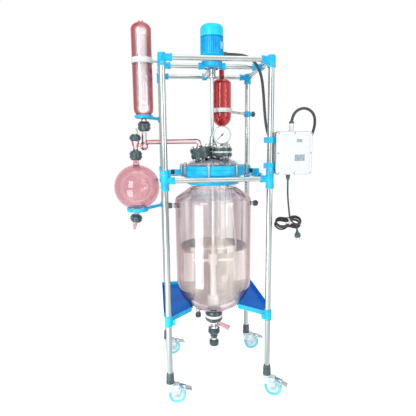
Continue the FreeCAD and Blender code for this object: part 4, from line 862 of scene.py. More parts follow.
def makeLid():
    p = lid
    r, wall, rise, flange = p["radius"], p["wall"], p["rise"], p["flange"]
    foot, edge, top, centre, centreTop = p["foot"], p["flangeTop"], p["neckTop"], p["centre"], p["centreTop"]
    outer = quarter(r, edge, rise, centre + 4)
    profile = [(r - wall, foot), (flange, foot, 2), (flange, edge, 4), (r + 8, edge, 6)]
    profile += [(x, z + 0.5) for x, z in outer[1:]]
    profile += [(centre, outer[-1][1] + 8, 4), (centre, centreTop, 2), (centre - wall, centreTop)]
    dome = tube(profile + quarter(r - wall, edge, rise - wall, centre - wall)[::-1], 128)
    flangedNeck(dome, alongLeft(-52), alongLeft(0), 30, 5)
    x, y = p["right"]
    flangedNeck(dome, (x, y, top - 42), (x, y, top), 30, 5)
    for x, y in (p["funnel"], p["probe"]):
        flangedNeck(dome, (x, y, top - 45), (x, y, top), 14, 3)
    dome.piece("lidGlass", "lidGlass", "glass_lid")


def ribbedCap(start, end, radius, bore, ribs=30):
    # A moulded screw cap with grip ribs.
    axis = Vector(end) - Vector(start)
    place, length = alignTo(start, axis), axis.length
    shape = tube([(bore, 0), (radius - 2, 0, 3), (radius - 2, length, 3), (bore, length)],
                 72).moved(place)
    return shape.ribbed(ribs, roundedBox((radius - 4, -1.7, 4), (radius, 1.7, length - 4), 1.2, "Z",
                                         0.8, 2), place)


def makeCouplings():
    p = lid
    black, metal = Shape(), Shape()
    half = 28.5
    black.joined(ribbedCap(alongLeft(-half), alongLeft(-2), 55.5, 34.5, 34))
    black.joined(ribbedCap(alongLeft(2), alongLeft(half), 55.5, 34.5, 34))
    black.joined(hollow(alongLeft(-3), alongLeft(3), 52, 34.5, 64))
    axis = alongLeft(1) - alongLeft(0)
    for k in range(6):
        spin = Matrix.Rotation(radians(60 * k + 15), 4, "Z")
        local = alignTo(alongLeft(half - 1), axis) @ spin
        metal.joined(hexagon((46, 0, 0), (0, 0, 1), 12, 6), local)
        metal.joined(bar((46, 0, 5), (46, 0, 14), 3, 16, 1), local)
        metal.joined(hexagon((46, 0, 0), (0, 0, 1), 12, 6), alignTo(alongLeft(-half - 6), axis) @ spin)
    x, y = p["right"]
    for low in (1380.0, 1407.0):
        black.joined(tube([(34.5, low), (53.5, low, 2.5), (55.5, low + 5, 2), (55.5, low + 12, 2),
                           (53.5, low + 17, 2.5),
                           (34.5, low + 17)], 72, at=(x, y)))
    for a in (radians(60 * k + 30) for k in range(6)):
        at = (x + 47 * cos(a), y + 47 * sin(a))
        metal.joined(hexagon((*at, 1424), (0, 0, 1), 12, 7))
        metal.joined(bar((*at, 1370), (*at, 1438), 3, 16, 1))
        metal.joined(hexagon((*at, 1380), (0, 0, -1), 12, 6))
    for x, y in (p["funnel"], p["probe"]):
        black.joined(ribbedCap((x, y, 1385), (x, y, 1415), 26, 14.4, 24))
    return black, metal


def screwClamp(start, end, radius, bore):
    # A two-part joint clamp: bevelled ribbed shells with a smooth waist line.
    axis = Vector(end) - Vector(start)
    place, length = alignTo(start, axis), axis.length
    half, bevel = length / 2, 9.0
    points = [(bore, 0), (radius - bevel, 0, 2), (radius, bevel + 5, 3), (radius, half - 3, 1),
              (radius - 2, half - 2),
              (radius - 2, half + 2), (radius, half + 3, 1), (radius, length - bevel - 5, 3),
              (radius - bevel, length, 2), (bore, length)]
    rib = Shape()
    for low, high in ((bevel + 5, half - 5), (half + 5, length - bevel - 5)):
        rib.joined(roundedBox((radius - 2, -2, low), (radius + 0.8, 2, high), 0.8, "Z", 0.6, 2))
    return tube(points, 64).moved(place).ribbed(20, rib, place)


makeLid()
print("lid made")

# Glass group on the left: condenser, head, receiver
leftGroup = {
    "condenser": (-384.0, 118.0),
    "condenserRadius": 57.0,
    "condenserSpan": (1618.0, 2131.0),
    "core": 34.0,
    "coil": {"radius": 44.0, "tube": 5.0, "turns": 27, "span": (1690.0, 2046.0)},
    "headFoot": 1552,
    "ports": (1688, 2033),
    "valve": (-438.0, 118.0),
    "flask": 133.0,
    "flaskCentre": 1199.0,
    "outletJoint": 1012,
    "outletLean": 12.0,
    "rings": (1606, 1062),
    "rod": 1915,
}
funnelArm = {"height": 1640.0, "radius": 60}


def outletPoint(distance):
    g = leftGroup
    lean = radians(g["outletLean"])
    x, y = g["valve"]
    foot = Vector((x, y, g["flaskCentre"] - g["flask"]))
    return foot + Vector((-sin(lean), 0, -cos(lean))) * distance


def makeLeftGroup():
    g = leftGroup
    x, y = g["condenser"]
    low, high = g["condenserSpan"]
    r, wall, neck = g["condenserRadius"], 4.0, 17.0
    inside, top, foot = r - wall, high - 48, g["headFoot"]
    outer = [(neck, foot), (neck, low - 22, 6), (neck + 20, low - 6, 12), (r - 2, low + 14, 14),
             (r, low + 40, 6)]
    outer += quarter(r, top, 40, 14) + [(14, high, 1)]
    inner = [(neck - wall, foot), (neck - wall, low - 20, 6), (neck + 16, low - 3, 12),
             (inside - 2, low + 16, 12), (inside, low + 40, 6)]
    inner += quarter(inside, top, 40 - wall, 10) + [(10, high)]
    shell = tube(outer + inner[::-1], 96, at=(x, y))
    c, (portLow, portHigh) = g["core"], g["ports"]
    core = tube([(c - wall, portLow - 16, 2), (c, portLow - 16, 2), (c, portHigh + 17, 3),
                 (c - wall, portHigh + 17, 3)], 64, at=(x, y))
    nipple = [(4, 0), (8, 0), (8, 20), (12, 21, 1), (12, 24, 1), (8, 25), (8, 32), (10, 34, 1), (8, 38),
              (10, 40, 1), (8, 44),
              (7, 52, 1), (4, 52)]
    for z in g["ports"]:
        shell.joined(hollow((x, y + r - 1, z), (x, y + r + 5, z), 12, 8.3, 32, 2))
        core.joined(tube(nipple, 32), alignTo((x, y + c - 1, z), (0, 1, 0)))
    shell.piece("condenserShell", "redReflectRimGlass", "condenser")
    core.piece("condenserCore", "coilGlass")
    radius, turns, (low, high) = (g["coil"][key] for key in ("radius", "turns", "span"))
    line = []
    for k in range(turns * 26 + 1):
        a = 2 * pi * k / 26
        line.append((x + radius * cos(a), y + radius * sin(a), low + (high - low) * k / (turns * 26)))
    sweep(line, g["coil"]["tube"], 10).piece("condenserCoil", "coilGlass")
    return hollow((x, y, 1900), (x, y, 1930), r + 4, r + 0.3, 72, 3)


def makeHead():
    g = leftGroup
    (x, y), valve, foot = g["condenser"], g["valve"], g["headFoot"] - 0.5
    head = tube([(13, foot), (17, foot), (17, 1466, 8), (27, 1446, 12), (26, 1428, 10), (14, 1414, 8),
                 (5, 1413), (3, 1418),
                 (12, 1420, 8), (23, 1431, 8), (24, 1445, 8), (14, 1466, 8)], 56, at=(x, y))
    corner = alongLeft(62 / cos(radians(lid["leftLean"])))
    line = rounding([(x + 14, y, 1462), corner, alongLeft(34)], 34)
    head.joined(sweep(line, 13, 32, caps=False))
    head.joined(sweep(line, 10, 28, caps=False))
    joint = tube([(24, 0.3), (32, 0.3, 2), (32, 8, 2), (30, 20, 8), (14, 38, 6), (11, 38), (24, 18, 6)],
                 56)
    head.joined(joint, alignTo(alongLeft(0), alongLeft(1) - alongLeft(0)))
    head.joined(tube([(14, 1385.4), (18, 1385.4), (18, 1412, 4), (13, 1424, 6), (14, 1430, 6),
                      (22, 1452, 8), (22, 1506, 2), (8, 1506),
                      (8, 1494, 3), (18, 1490, 4), (18, 1456, 8), (9, 1430, 6), (9, 1412, 4)], 56,
                      at=valve))
    head.joined(sweep(rounding([(x - 22, y, 1440), (x - 34, y, 1446), (valve[0] + 16, y, 1452)], 8), 8,
                      24, caps=False))
    head.piece("headGlass", "redReflectRimGlass", "still_head")
    knob = turned([(0, 1482), (6, 1482), (6, 1506.4), (17, 1506.4, 2), (17, 1528, 6), (12, 1543, 5),
                   (0, 1543)], 48)
    knob.ribbed(12, roundedBox((15.5, -1.5, 1509), (17.6, 1.5, 1527), 0.8, "Z", 0.5, 2))
    knob.moved(shifted(*valve)).piece("takeOffKnob", "ptfe", "take_off_knob", body="take_off_knob")


def makeFlask():
    g = leftGroup
    x, y = g["valve"]
    r, z0, wall = g["flask"], g["flaskCentre"], 5.0

    def ball(radius, first, least):
        # Outline points of a ball that leaves out what is nearer to its axis than least.
        angles = [radians(t) for t in range(-first, first + 1, 4)]
        points = [(radius * cos(a), z0 + radius * sin(a)) for a in angles]
        return [p for p in points if p[0] > least]

    outer = ball(r, 82, 18.5) + [(18, z0 + r + 6, 3), (18, 1385, 1)]
    inner = ball(r - wall, 83, 14.5) + [(14, z0 + r + 6, 3), (14, 1385)]
    bulb = tube(outer + inner[::-1], 112, at=(x, y))
    joint = (z0 - r - g["outletJoint"]) / cos(radians(g["outletLean"]))
    along = outletPoint(1) - outletPoint(0)
    bulb.joined(tube([(12, 0), (20, 0, 3), (16, 12, 4), (16, joint + 8), (12, joint + 8)], 40),
                alignTo(outletPoint(-8), along))
    bulb.joined(tube([(11, 0), (16, 0), (16, 26, 8), (7, 68, 1), (4, 68), (11, 24, 8)], 40),
                alignTo(outletPoint(joint + 0.3), along))
    bulb.piece("flaskGlass", "flaskGlass", "receiver_flask")
    return joint


def makeSupports():
    # Blue brackets that carry the glass beside the frame, and the clamp of the funnel.
    g, f = leftGroup, funnelArm
    blue, steelParts = Shape(), Shape()
    sideX, back, rail = tubes["side"], tubes["back"], tubes["topRail"]
    post = Vector((-sideX, back))

    def sleeveOn(at, z):
        blue.joined(tube([(16.2, z - 18), (21, z - 18, 3), (21, z + 18, 3), (16.2, z + 18)], 44, at=at))

    def ringOn(at, z, low, high, outer, inner):
        centre = Vector(at)
        away = (post - centre).normalized()
        blue.joined(tube([(inner, low), (outer - 5, low, 3), (outer, low + 6, 4), (outer, high, 3),
                          (inner, high, 1)], 72, at=at))
        start, end = centre + away * (outer - 4), post - away * 17
        side = Vector((-away.y, away.x))
        blue.joined(prism([start + side * 13, start - side * 13, end - side * 11, end + side * 11],
                          z - 8, z + 8, None, 2))
        sleeveOn(post, z)

    upper, lower = g["rings"]
    ringOn(g["condenser"], upper, upper - 8, upper + 10, 53, 46)
    seat = g["flaskCentre"] - sqrt(g["flask"] ** 2 - 58 ** 2) - 2
    ringOn(g["valve"], lower, seat - 24, seat, 64, 54)
    for z in g["rings"]:
        steelParts.joined(capScrew((-sideX, back + 21, z), (0, 1, 0), 4.5, 5))
    z, start, end = f["height"], Vector(lid["funnel"]), Vector((sideX, back))
    away = (end - start).normalized()
    steelParts.joined(bar((*(start + away * f["radius"]), z), (*(end - away * 18), z), 8, 28))
    sleeveOn(end, z)
    blue.joined(bar((*(end - away * 40), z), (*(end - away * 17), z), 12, 36, 2))
    blue.joined(bar((sideX + 18, back, z), (sideX + 27, back, z), 9, 32, 1))
    steelParts.joined(bar((sideX + 20, back, z), (sideX + 47, back, z), 5, 24, 0.5))
    x, y = g["condenser"]
    blue.joined(bar((-sideX, y - 15, rail), (-sideX, y + 15, rail), 20, 44, 3))
    steelParts.joined(bar((-sideX, y, rail), (-sideX, y, g["rod"] + 14), 10, 32, 2))
    steelParts.joined(bar((-sideX, y, g["rod"]), (x + 58, y, g["rod"]), 8, 28))
    blue.piece("brackets", "casting", "support_arms")
    steelParts.piece("bracketRods", "steel")
    knob = tube([(5.1, 0), (13, 0, 2), (15, 4, 2), (15, 18, 3), (11, 23, 2), (5.1, 23)], 44)
    knob.ribbed(8, bar((15, 0, 3), (15, 0, 19), 2.6, 12, 1))
    knob = knob.moved(alignTo((sideX + 27.3, back, z), (1, 0, 0)))
    knob.piece("supportKnob", "blackPlastic", "support_knob", body="support_knob")


whiteBand = makeLeftGroup()
makeHead()
outletJoint = makeFlask()
makeSupports()
black, metal = makeCouplings()
clamps = Shape()
for at, low, high, radius, bore in (("condenser", 1524, 1580, 36, 17.3),
                                    ("valve", 1468, 1504, 34, 22.3), ("valve", 1358, 1412, 36, 18.3)):
    clamps.joined(screwClamp((*leftGroup[at], low), (*leftGroup[at], high), radius, bore))
clamps.joined(screwClamp(outletPoint(outletJoint - 22), outletPoint(outletJoint + 22), 36, 16.3))
clamps.piece("jointClamps", "blackPlastic", "joint_clamps")
black.piece("neckCouplings", "blackPlastic", "neck_couplings")
metal.piece("couplingBolts", "steel")
print("left group made")

# Dropping funnel
funnel = {"radius": 55.0, "span": (1566.0, 1822.0), "foot": 1382, "mouth": 1902.0, "tap": 1500.0}


def makeFunnel():
    d = funnel
    x, y = lid["funnel"]
    (low, high), foot, mouth, tap = d["span"], d["foot"], d["mouth"], d["tap"]
    r, wall, neck, stem = d["radius"], 4.0, 15.0, 9.0
    outer = [(stem, foot), (stem, foot + 18), (14, foot + 18.3), (14, foot + 36, 2),
             (stem, foot + 40, 3), (stem, low - 22, 10),
             (r - 10, low + 4, 16), (r, low + 30, 12)]
    outer += quarter(r, high - 32, 32, neck)
    outer += [(neck, high + 14, 6), (neck, mouth - 6, 2), (neck + 4, mouth - 4, 2),
              (neck + 4, mouth, 1)]
    inner = [(stem - wall, foot), (stem - wall, low - 20, 10), (r - 13, low + 9, 16),
             (r - wall, low + 31, 12)]
    inner += quarter(r - wall, high - 32, 32 - wall, neck - wall) + [(neck - wall, mouth)]
    glassShape = tube(outer + inner[::-1], 88, at=(x, y))
    glassShape.joined(hollow((x - 26, y, tap), (x + 26, y, tap), 13, 7.1, 36, 2))
    glassShape.piece("funnelGlass", "redReflectGlass", "dropping_funnel")
    key = bar((x - 34, y, tap), (x + 27, y, tap), 7, 32, 1)
    key.joined(bar((x + 26.3, y, tap), (x + 36, y, tap), 12, 32, 1.5))
    key.joined(roundedBox((x + 36, y - 26, tap - 6), (x + 44, y + 26, tap + 6), 4, "X", 1.2))
    key.joined(bar((x - 36, y, tap), (x - 30, y, tap), 10, 28, 1))
    key.piece("funnelKey", "ptfe", "funnel_key", body="funnel_key")


def makeWhiteFittings():
    # White rings, stoppers and gaskets.
    at = x, y = lid["right"]
    white = Shape().joined(whiteBand)
    white.joined(hollow((x, y, 1397), (x, y, 1407), 49, 34.3, 64, 1))
    hollow((0, 0, 1305), (0, 0, 1307), 170, 144, 96).piece("flangeGasket", "ptfe", "flange_gasket")
    white.joined(hollow((0, 0, 410), (0, 0, 426), 52, 42.3, 64, 2))
    white.joined(turned([(20.3, 1380), (24.7, 1380), (24.7, 1400.2), (32, 1400.2, 2), (32, 1424, 2),
                         (26, 1434, 3), (0, 1434),
                         (0, 1430), (20.3, 1430)], 56, at=at))
    fx, fy = lid["funnel"]
    white.joined(hollow((fx, fy, 1628), (fx, fy, 1652), 62, 55.3, 72, 3))
    white.joined(roundedBox((fx + 38, fy + 30, 1629), (fx + 62, fy + 56, 1651), 4, "Z", 2))
    white.piece("whiteFittings", "ptfe", "ptfe_fittings")
    hollow((x, y, 916), (x, y, 1429), 20, 16, 48, 1).piece("dipTube", "innerGlass", "dip_tube")
    probe = sweep([(144, 25, 838), (*lid["probe"], 1396)], 5, 24)
    probe.joined(turned([(0, 1388), (10.7, 1388), (10.7, 1415), (22, 1415.2, 2), (22, 1424, 3),
                         (18, 1446, 3), (8, 1447, 2),
                         (6, 1461, 2), (0, 1461)], 44, at=lid["probe"]))
    probe.piece("probe", "ptfe", "temperature_probe")


makeFunnel()
makeWhiteFittings()
print("funnel made")

# Dial gauge
gauge = {"height": 1494.0, "radius": 50.0, "depth": 22.0, "turn": 9.9, "rim": 4.5, "ticks": 40,
         "numbers": 5, "first": 225, "sweep": 270}


def makeGauge():
    d = gauge
    turn = radians(d["turn"])
    facing = Vector((-sin(turn), -cos(turn), 0))
    across = Vector((cos(turn), -sin(turn), 0))
    x, y = lid["right"]
    basis = Matrix((across, Vector((0, 0, 1)), facing)).transposed().to_4x4()
    basis.translation = Vector((x, y, d["height"])) - facing * d["depth"] / 2
    r, depth, inside = d["radius"], d["depth"], d["radius"] - d["rim"]
    case = turned([(0, 0), (r - 3, 0, 3), (r - 1.5, 4, 2), (r - 1.5, depth - 6, 1), (r, depth - 5.5, 1),
                   (r, depth - 1, 1.5),
                   (r - 3, depth, 1.5), (inside, depth - 1.5, 1), (inside, depth - 6), (2, depth - 6),
                   (2, depth - 2, 0.5),
                   (0, depth - 2)], 96).moved(basis)
    case.joined(bar((x, y, 1434), (x, y, 1450), 8, 28, 1))
    case.joined(hexagon((x, y, 1436), (0, 0, 1), 22, 8))
    case.piece("gaugeCase", "steel", "gauge_case")
    face = collar(None, depth - 5.9, depth - 5.6, inside - 0.2, 2.4, 0, 72)
    face.moved(basis).piece("gaugeFace", "enamel")

    def spun(part, whole):
        # The dial turned to a part of its scale.
        return basis @ Matrix.Rotation(radians(d["first"] - d["sweep"] * part / whole), 4, "Z")

    marks, edge = Shape(), inside - 3
    for k in range(d["ticks"] + 1):
        long, wide = (6.0, 0.8) if k % (d["ticks"] // 5) == 0 else (3.2, 0.4)
        tick = roundedBox((edge - long, -wide / 2, depth - 5.6), (edge, wide / 2, depth - 5.45), 0.1,
                          "Z", 0.0, 1)
        marks.joined(tick, spun(k, d["ticks"]))
    marks.piece("gaugeMarks", "ink")
    for k in range(d["numbers"] + 1):
        a = radians(d["first"] - d["sweep"] * k / d["numbers"])
        data = bpy.data.curves.new(f"dialNumber{k}", "FONT")
        data.body = str(k * 2)
        data.size = 8.5 * mm
        data.align_x = data.align_y = "CENTER"
        data.extrude = 0.06 * mm
        data.materials.append(materials["ink"])
        obj = bpy.data.objects.new(f"dialNumber{k}", data)
        scene.collection.objects.link(obj)
        place = basis.copy()
        place.translation = basis @ Vector((29 * cos(a), 29 * sin(a), depth - 5.45)) * mm
        obj.matrix_world = place
        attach(obj, "frame")
    needle, tip = Shape(), inside - 8
    needle.joined(tube([(2.08, depth - 5.2), (5, depth - 5.2, 0.5), (5, depth - 2.6, 0.6),
                        (2.08, depth - 2.6)], 32))
    needle.joined(prism([(4, -1.8), (tip, -0.5), (tip, 0.5), (4, 1.8)], depth - 5.0, depth - 3.8))
    needle.joined(prism([(-18, -2.2), (-4, -1.6), (-4, 1.6), (-18, 2.2)], depth - 5.0, depth - 3.8))
    needle.moved(spun(0, 1)).piece("gaugeNeedle", "ink", "gauge_needle", body="gauge_needle")


makeGauge()
print("gauge made")

# Clamp ring round the flange
clampRing = {
    "radius": 190.0,
    "bore": 170.3,
    "joint": 1306.0,
    "top": 1329.0,
    "foot": 1276.0,
    "collarFoot": 1222.0,
    "collar": 147.0,
    "bolts": (-150.0, -105.0, -57.0, -20.0, 40.0, 90.0, 140.0, 200.0),
    "boltCircle": 193,
    "carrier": 30,         # place of the two carriers along Y
    "pin": 1291,
}


def makeClampRing():
    d = clampRing
    r, bore, joint = d["radius"], d["bore"], d["joint"]
    top, foot, low = d["top"], d["foot"], d["collarFoot"]
    upper = tube([(bore, joint), (r, joint, 1.5), (r, top, 4), (156, top, 3), (156, top - 6.5),
                  (bore, top - 6.5)], 144)
    upper.piece("ringUpper", "casting", "clamp_ring_upper")
    lower = tube([(137, low, 1), (d["collar"], low, 2), (166, foot, 3), (r, foot, 3),
                  (r, joint - 0.6, 1.5), (bore, joint - 0.6),
                  (bore, foot + 8), (137, foot + 8)], 144)
    y, z = d["carrier"], d["pin"]
    for side in (1, -1):
        lower.joined(roundedBox((side * 176, y - 22, foot), (side * 218, y + 22, foot + 29), 4, "Z",
                                1.5))
    lower.piece("ringLower", "casting", "clamp_ring_lower")
    bolts = Shape()
    for a in (radians(angle) for angle in d["bolts"]):
        at = d["boltCircle"] * cos(a), d["boltCircle"] * sin(a)
        bolts.joined(bar((*at, foot - 8), (*at, top + 13), 6, 24, 1))
        bolts.joined(hexagon((*at, top), (0, 0, 1), 22, 9, 1.2))
        bolts.joined(hexagon((*at, foot), (0, 0, -1), 22, 4, 1))
        bolts.joined(tube([(6, top), (13, top), (13, top + 1.6, 0.5), (6, top + 1.6)], 32, at=at))
    bolts.piece("ringBolts", "steel", "clamp_bolts")
    carriers, bushes = Shape(), Shape()
    rail = tubes["ringRail"]
    for side in (1, -1):
        x = side * tubes["side"]
        carriers.joined(bar((x, y - 20, rail), (x, y + 20, rail), 21, 40, 3))
        carriers.joined(roundedBox((side * 239, y - 13, rail + 1), (x, y + 13, rail + 46), 5, "Y", 1.5))
        carriers.joined(bar((side * 239, y, z), (side * 218, y, z), 6, 24))
        bushes.joined(hollow((side * 218, y, z), (side * 239, y, z), 14, 6.1, 40, 3))
    carriers.piece("ringCarriers", "casting", "ring_carriers")
    bushes.piece("carrierBushes", "rubber", "carrier_bushes")


makeClampRing()
print("clamp ring made")

# Vessel, jacket and what is in it
vessel = {
    "radius": 220.0,
    "wall": 5.0,
    "pot": 206.0,
    "potWall": 6.0,
    "belly": 664.0,
    "depth": 209.0,
    "potDepth": 170.0,
    "shoulder": 1138.0,
    "potShoulder": 1122.0,
    "neck": 132.0,
    "neckFoot": 1203.0,
    "flange": (1285.0, 1305.0),
    "drain": 30.0,
    "drainJoint": 426,
    "liquid": 858.0,
    "lowPort": (-98, -20, 450),
    "ports": 1100.0,
}


def makeVessel():
    v = vessel
    r, w, belly = v["radius"], v["wall"], v["belly"]
    shoulder, neck, neckFoot = v["shoulder"], v["neck"], v["neckFoot"]
    outer = quarter(r, belly, -v["depth"], 30.3, 30)[::-1]
    outer += [(r, shoulder - 30), (r, shoulder + 6, 46), (neck + 12, neckFoot - 8, 14),
              (neck + 0.3, neckFoot, 2)]
    inner = quarter(r - w, belly, w - v["depth"], 30.3, 30)[::-1]
    inner += [(r - w, shoulder - 32), (r - w, shoulder + 2, 42), (neck + 10, neckFoot - 14, 12),
              (neck + 0.3, neckFoot - 7)]
    jacket = tube(outer + inner[::-1], 160, steps=10)
    port = [(9, 0), (19, 0, 4), (13, 7, 4), (13, 22), (9, 22)]
    for side in (-1, 1):
        jacket.joined(tube(port, 40), alignTo((side * (r - 3), 0, v["ports"]), (side, 0, 0)))
    low = Vector(v["lowPort"])
    jacket.joined(tube([(9, 0), (13, 0), (13, 24, 4), (19, 31, 3), (9, 31)], 40),
                  alignTo(low, (0, 0, 1)))
    jacket.piece("jacketGlass", "clearGlass", "vessel_jacket")

    p, pw, depth, top, foot = v["pot"], v["potWall"], v["potDepth"], v["potShoulder"], v["drainJoint"]
    flangeLow, flangeHigh = v["flange"]
    pot = [(42, foot), (42, foot + 10, 2), (v["drain"], foot + 12, 4)]
    pot += quarter(p, belly, -depth, v["drain"], 28)[::-1]
    pot += [(p, top - 24), (p, top + 6, 40), (neck, top + 56, 18), (neck, flangeLow, 6),
            (170, flangeLow, 3), (170, flangeHigh, 2)]
    inside = [(24, foot)] + quarter(p - pw, belly, pw - depth, 24, 28)[::-1]
    inside += [(p - pw, top - 26), (p - pw, top + 3, 38), (neck - pw, top + 52, 16),
               (neck - pw, flangeHigh)]
    tube(pot + inside[::-1], 160, steps=8).piece("potGlass", "innerGlass", "inner_vessel")

    wet, level = p - pw + 0.6, v["liquid"]
    charge = [(0, 500), (24, 500)] + quarter(wet, belly, pw - depth - 0.6, 24.6, 28)[::-1]
    turned(charge + [(wet, level + 2, 1), (wet - 1.5, level + 0.8), (wet - 6, level), (0, level)],
           144).piece("charge", "liquidBody")

    caps = Shape()
    for side in (-1, 1):
        start, away = Vector((side * (r + 19), 0, v["ports"])), Vector((side, 0, 0))
        caps.joined(ribbedCap(start, start + away * 26, 17, 0.5, 16))
        caps.joined(bar(start + away * 24, start + away * 29, 12, 28, 2))
    caps.joined(ribbedCap(low - Vector((0, 0, 29)), low - Vector((0, 0, 0.5)), 17, 0.5, 16))
    caps.piece("jacketCaps", "blackPlastic", "neck_couplings")


def makeDrain():
    joint = vessel["drainJoint"]
    black = tube([(42.4, joint), (50, joint, 2), (52, joint + 5, 2), (52, joint + 10, 3),
                  (46, joint + 24, 3), (32, joint + 26, 2),
                  (32, joint + 14, 2), (42.4, joint + 14)], 72)
    black.joined(tube([(42.4, 392), (28.3, 392), (28.3, 384), (44, 384, 3), (52, 394, 4), (52, 405, 2),
                       (50, 410, 2), (42.4, 410)], 72))
    ribs = roundedBox((49, -2.2, 395), (53, 2.2, 407), 1, "Z", 0.8, 2)
    ribs.joined(roundedBox((48, -2.2, joint + 2), (53, 2.2, joint + 11), 1, "Z", 0.8, 2))
    black.ribbed(20, ribs).piece("drainCoupling", "blackPlastic", "drain_coupling")
    glassBody = tube([(8.1, 338.2), (28, 338.2, 2), (28, 392.2), (41.6, 392.2), (41.6, joint),
                      (21.6, joint), (21.6, 350), (8.1, 350)], 64)
    root, tip = Vector((24, 0, 366)), Vector((94, 0, 324))
    length = (tip - root).length
    spout = tube([(8, 0), (12, 0, 2), (12, length * 0.3, 4), (13, length * 0.5, 4), (18, length - 9, 5),
                  (17, length, 3), (12, length),
                  (8, length * 0.5)], 40)
    spout.moved(alignTo(root, tip - root)).piece("drainSpout", "flaskGlass")
    glassBody.piece("drainGlass", "innerGlass", "drain_body")
    bonnet = tube([(8.1, 272), (19, 272, 2), (24, 284, 3), (22, 292, 3), (35, 306, 4), (35, 322, 2),
                   (31, 325, 1), (31, 328, 1),
                   (35, 331, 2), (35, 338, 2), (8.1, 338)], 64)
    bonnet.ribbed(16, roundedBox((33, -2, 308), (36, 2, 321), 1, "Z", 0.6, 2))
    bonnet.piece("drainBonnet", "blackPlastic", "drain_coupling")
    plunger = turned([(0, 236), (8, 236, 1), (8, 412, 2), (21, 414, 3), (21, 430, 3), (22, 444, 3),
                      (0, 444)], 48)
    plunger.piece("drainPlunger", "ptfe", "drain_plunger", body="drain_plunger")
    wheel = turned([(0, 223), (26, 223, 3), (28, 228, 2), (28, 252, 2), (25, 257, 3), (13, 257, 2),
                    (13, 266), (8.1, 266), (8.1, 226),
                    (0, 226)], 64)
    wheel.ribbed(12, roundedBox((26, -2.2, 227), (29.2, 2.2, 253), 1.2, "Z", 0.8, 2))
    wheel.piece("drainWheel", "blackPlastic", "drain_handwheel", body="drain_handwheel")
    ring = hollow((0, 0, 258), (0, 0, 271), 15, 8.3, 40, 2)
    ring.piece("wheelCollar", "ptfe", body="drain_handwheel")


makeVessel()
makeDrain()
print("vessel made")

# Belly trays: the CAD sheets with their rims. The sheets take the darker blue as painted shade, and the faces
# that look to the front the casting blue as painted light.
sheets = dress("belly_trays", "seamAndShadeBlue", sharp=20)
sheets.materials.append(materials["casting"])
# faces that look to the front take the lighter blue: painted light on the front lips
for face in sheets.polygons:
    if face.normal.y < -0.7:
        face.material_index = 1
dress("tray_trims", "rubber")

# Casters
casters = {
    "turns": {"front_left": -3.0, "front_right": -30.0, "back_right": 0.0, "back_left": 12.0},
    "trail": 38.0,
    "wheel": 50.0,
    "width": 28.0,
    "cheekGap": 2.5,
    "cheek": 3,
    "pedal": 82,
}


def makeCaster(corner, place):
    # Fork, axle, wheel and brake lever, built with the swivel on the Z axis and the wheel towards X.
    d = casters
    trail, r, half = d["trail"], d["wheel"], d["width"] / 2
    inner = half + d["cheekGap"]
    outer = inner + d["cheek"]
    fork, wheel, pedal = (f"caster_{part}_{corner}" for part in ("fork", "wheel", "pedal"))
    upright = Matrix(((1, 0, 0, 0), (0, 0, -1, 0), (0, 1, 0, 0), (0, 0, 0, 1)))

    shell = turned([(0, 112.7), (24, 112.7, 2), (25, 117, 2), (24, 121.7, 2), (7, 121.7), (7, 142, 1),
                    (0, 142)], 48)
    outline = [(-20, 113), (trail + 10, 113), (trail + 22, 96), (trail + 20, 74), (trail + 13, 40),
               (trail, 33), (trail - 13, 40), (-14, 84)]
    outline = rounded([(*p, 9) for p in outline], 4, ring=True)
    for start in (inner, -outer):
        shell.joined(prism(outline, start, start + d["cheek"], upright, 0.8))
    shell.joined(roundedBox((-19, -outer, 109.5), (trail + 12, outer, 113), 6, "Z", 0.8))
    shell.moved(place).piece("fork_" + corner, "forkShell", fork, body=fork)

    axle = bar((trail, -outer - 4, r), (trail, outer + 4, r), 6, 28, 1)
    for side in (-1, 1):
        axle.joined(hexagon((trail, side * outer, r), (0, side, 0), 17, 5))
        axle.joined(bar((trail + 10, side * inner, 95), (trail + 10, side * (outer + 5), 95), 4, 20, 1))
    axle.moved(place).piece("axle_" + corner, "zinc", body=fork)

    tread = tube([(34, -half + 3, 2), (44, -half, 3), (r, -half + 2, 4), (r, half - 2, 4),
                  (44, half, 3), (34, half - 3, 2)], 72)
    hub = tube([(6.1, -half), (13, -half, 2), (15, -half + 5, 2), (35, -half + 6), (35, half - 6),
                (15, half - 5, 2), (13, half, 2),
                (6.1, half)], 56)
    hub.ribbed(6, roundedBox((12, -1.8, -half + 2.5), (36, 1.8, half - 2.5), 1, "X", 0.5, 2))
    stand = place @ alignTo((trail, 0, r), (0, 1, 0))
    tread.moved(stand).piece("tread_" + corner, "wheelPlastic", wheel, body=wheel)
    hub.moved(stand).piece("wheelHub_" + corner, "hubShell", body=wheel)

    x, z, tip = trail + 10, 95.0, trail + d["pedal"]
    lever = Shape()
    arm = [(x - 8, z - 6, 4), (x + 6, z - 8, 4), (tip - 30, z - 12, 3), (tip - 30, z - 4, 3),
           (x, z + 8, 6)]
    for start in (outer + 0.3, -outer - 3.3):
        lever.joined(prism(rounded(arm, 4, ring=True), start, start + 3, upright, 0.6))
    foot = [(tip - 36, z - 12, 2), (tip - 4, z - 19, 2), (tip, z - 23, 2), (tip + 1, z - 16, 3),
            (tip - 8, z - 12, 3), (tip - 34, z - 5, 3)]
    lever.joined(prism(rounded(foot, 3, ring=True), -outer - 0.2, outer + 0.2, upright, 1.0))
    for k in range(3):
        gripX, gripZ = tip - 12 - 7 * k, z - 12.2 + 1.6 * k
        lever.joined(bar((gripX, -outer + 3, gripZ), (gripX, outer - 3, gripZ), 1.4, 10, 0.4))
    lever.moved(place).piece("pedal_" + corner, "zinc", pedal, body=pedal)


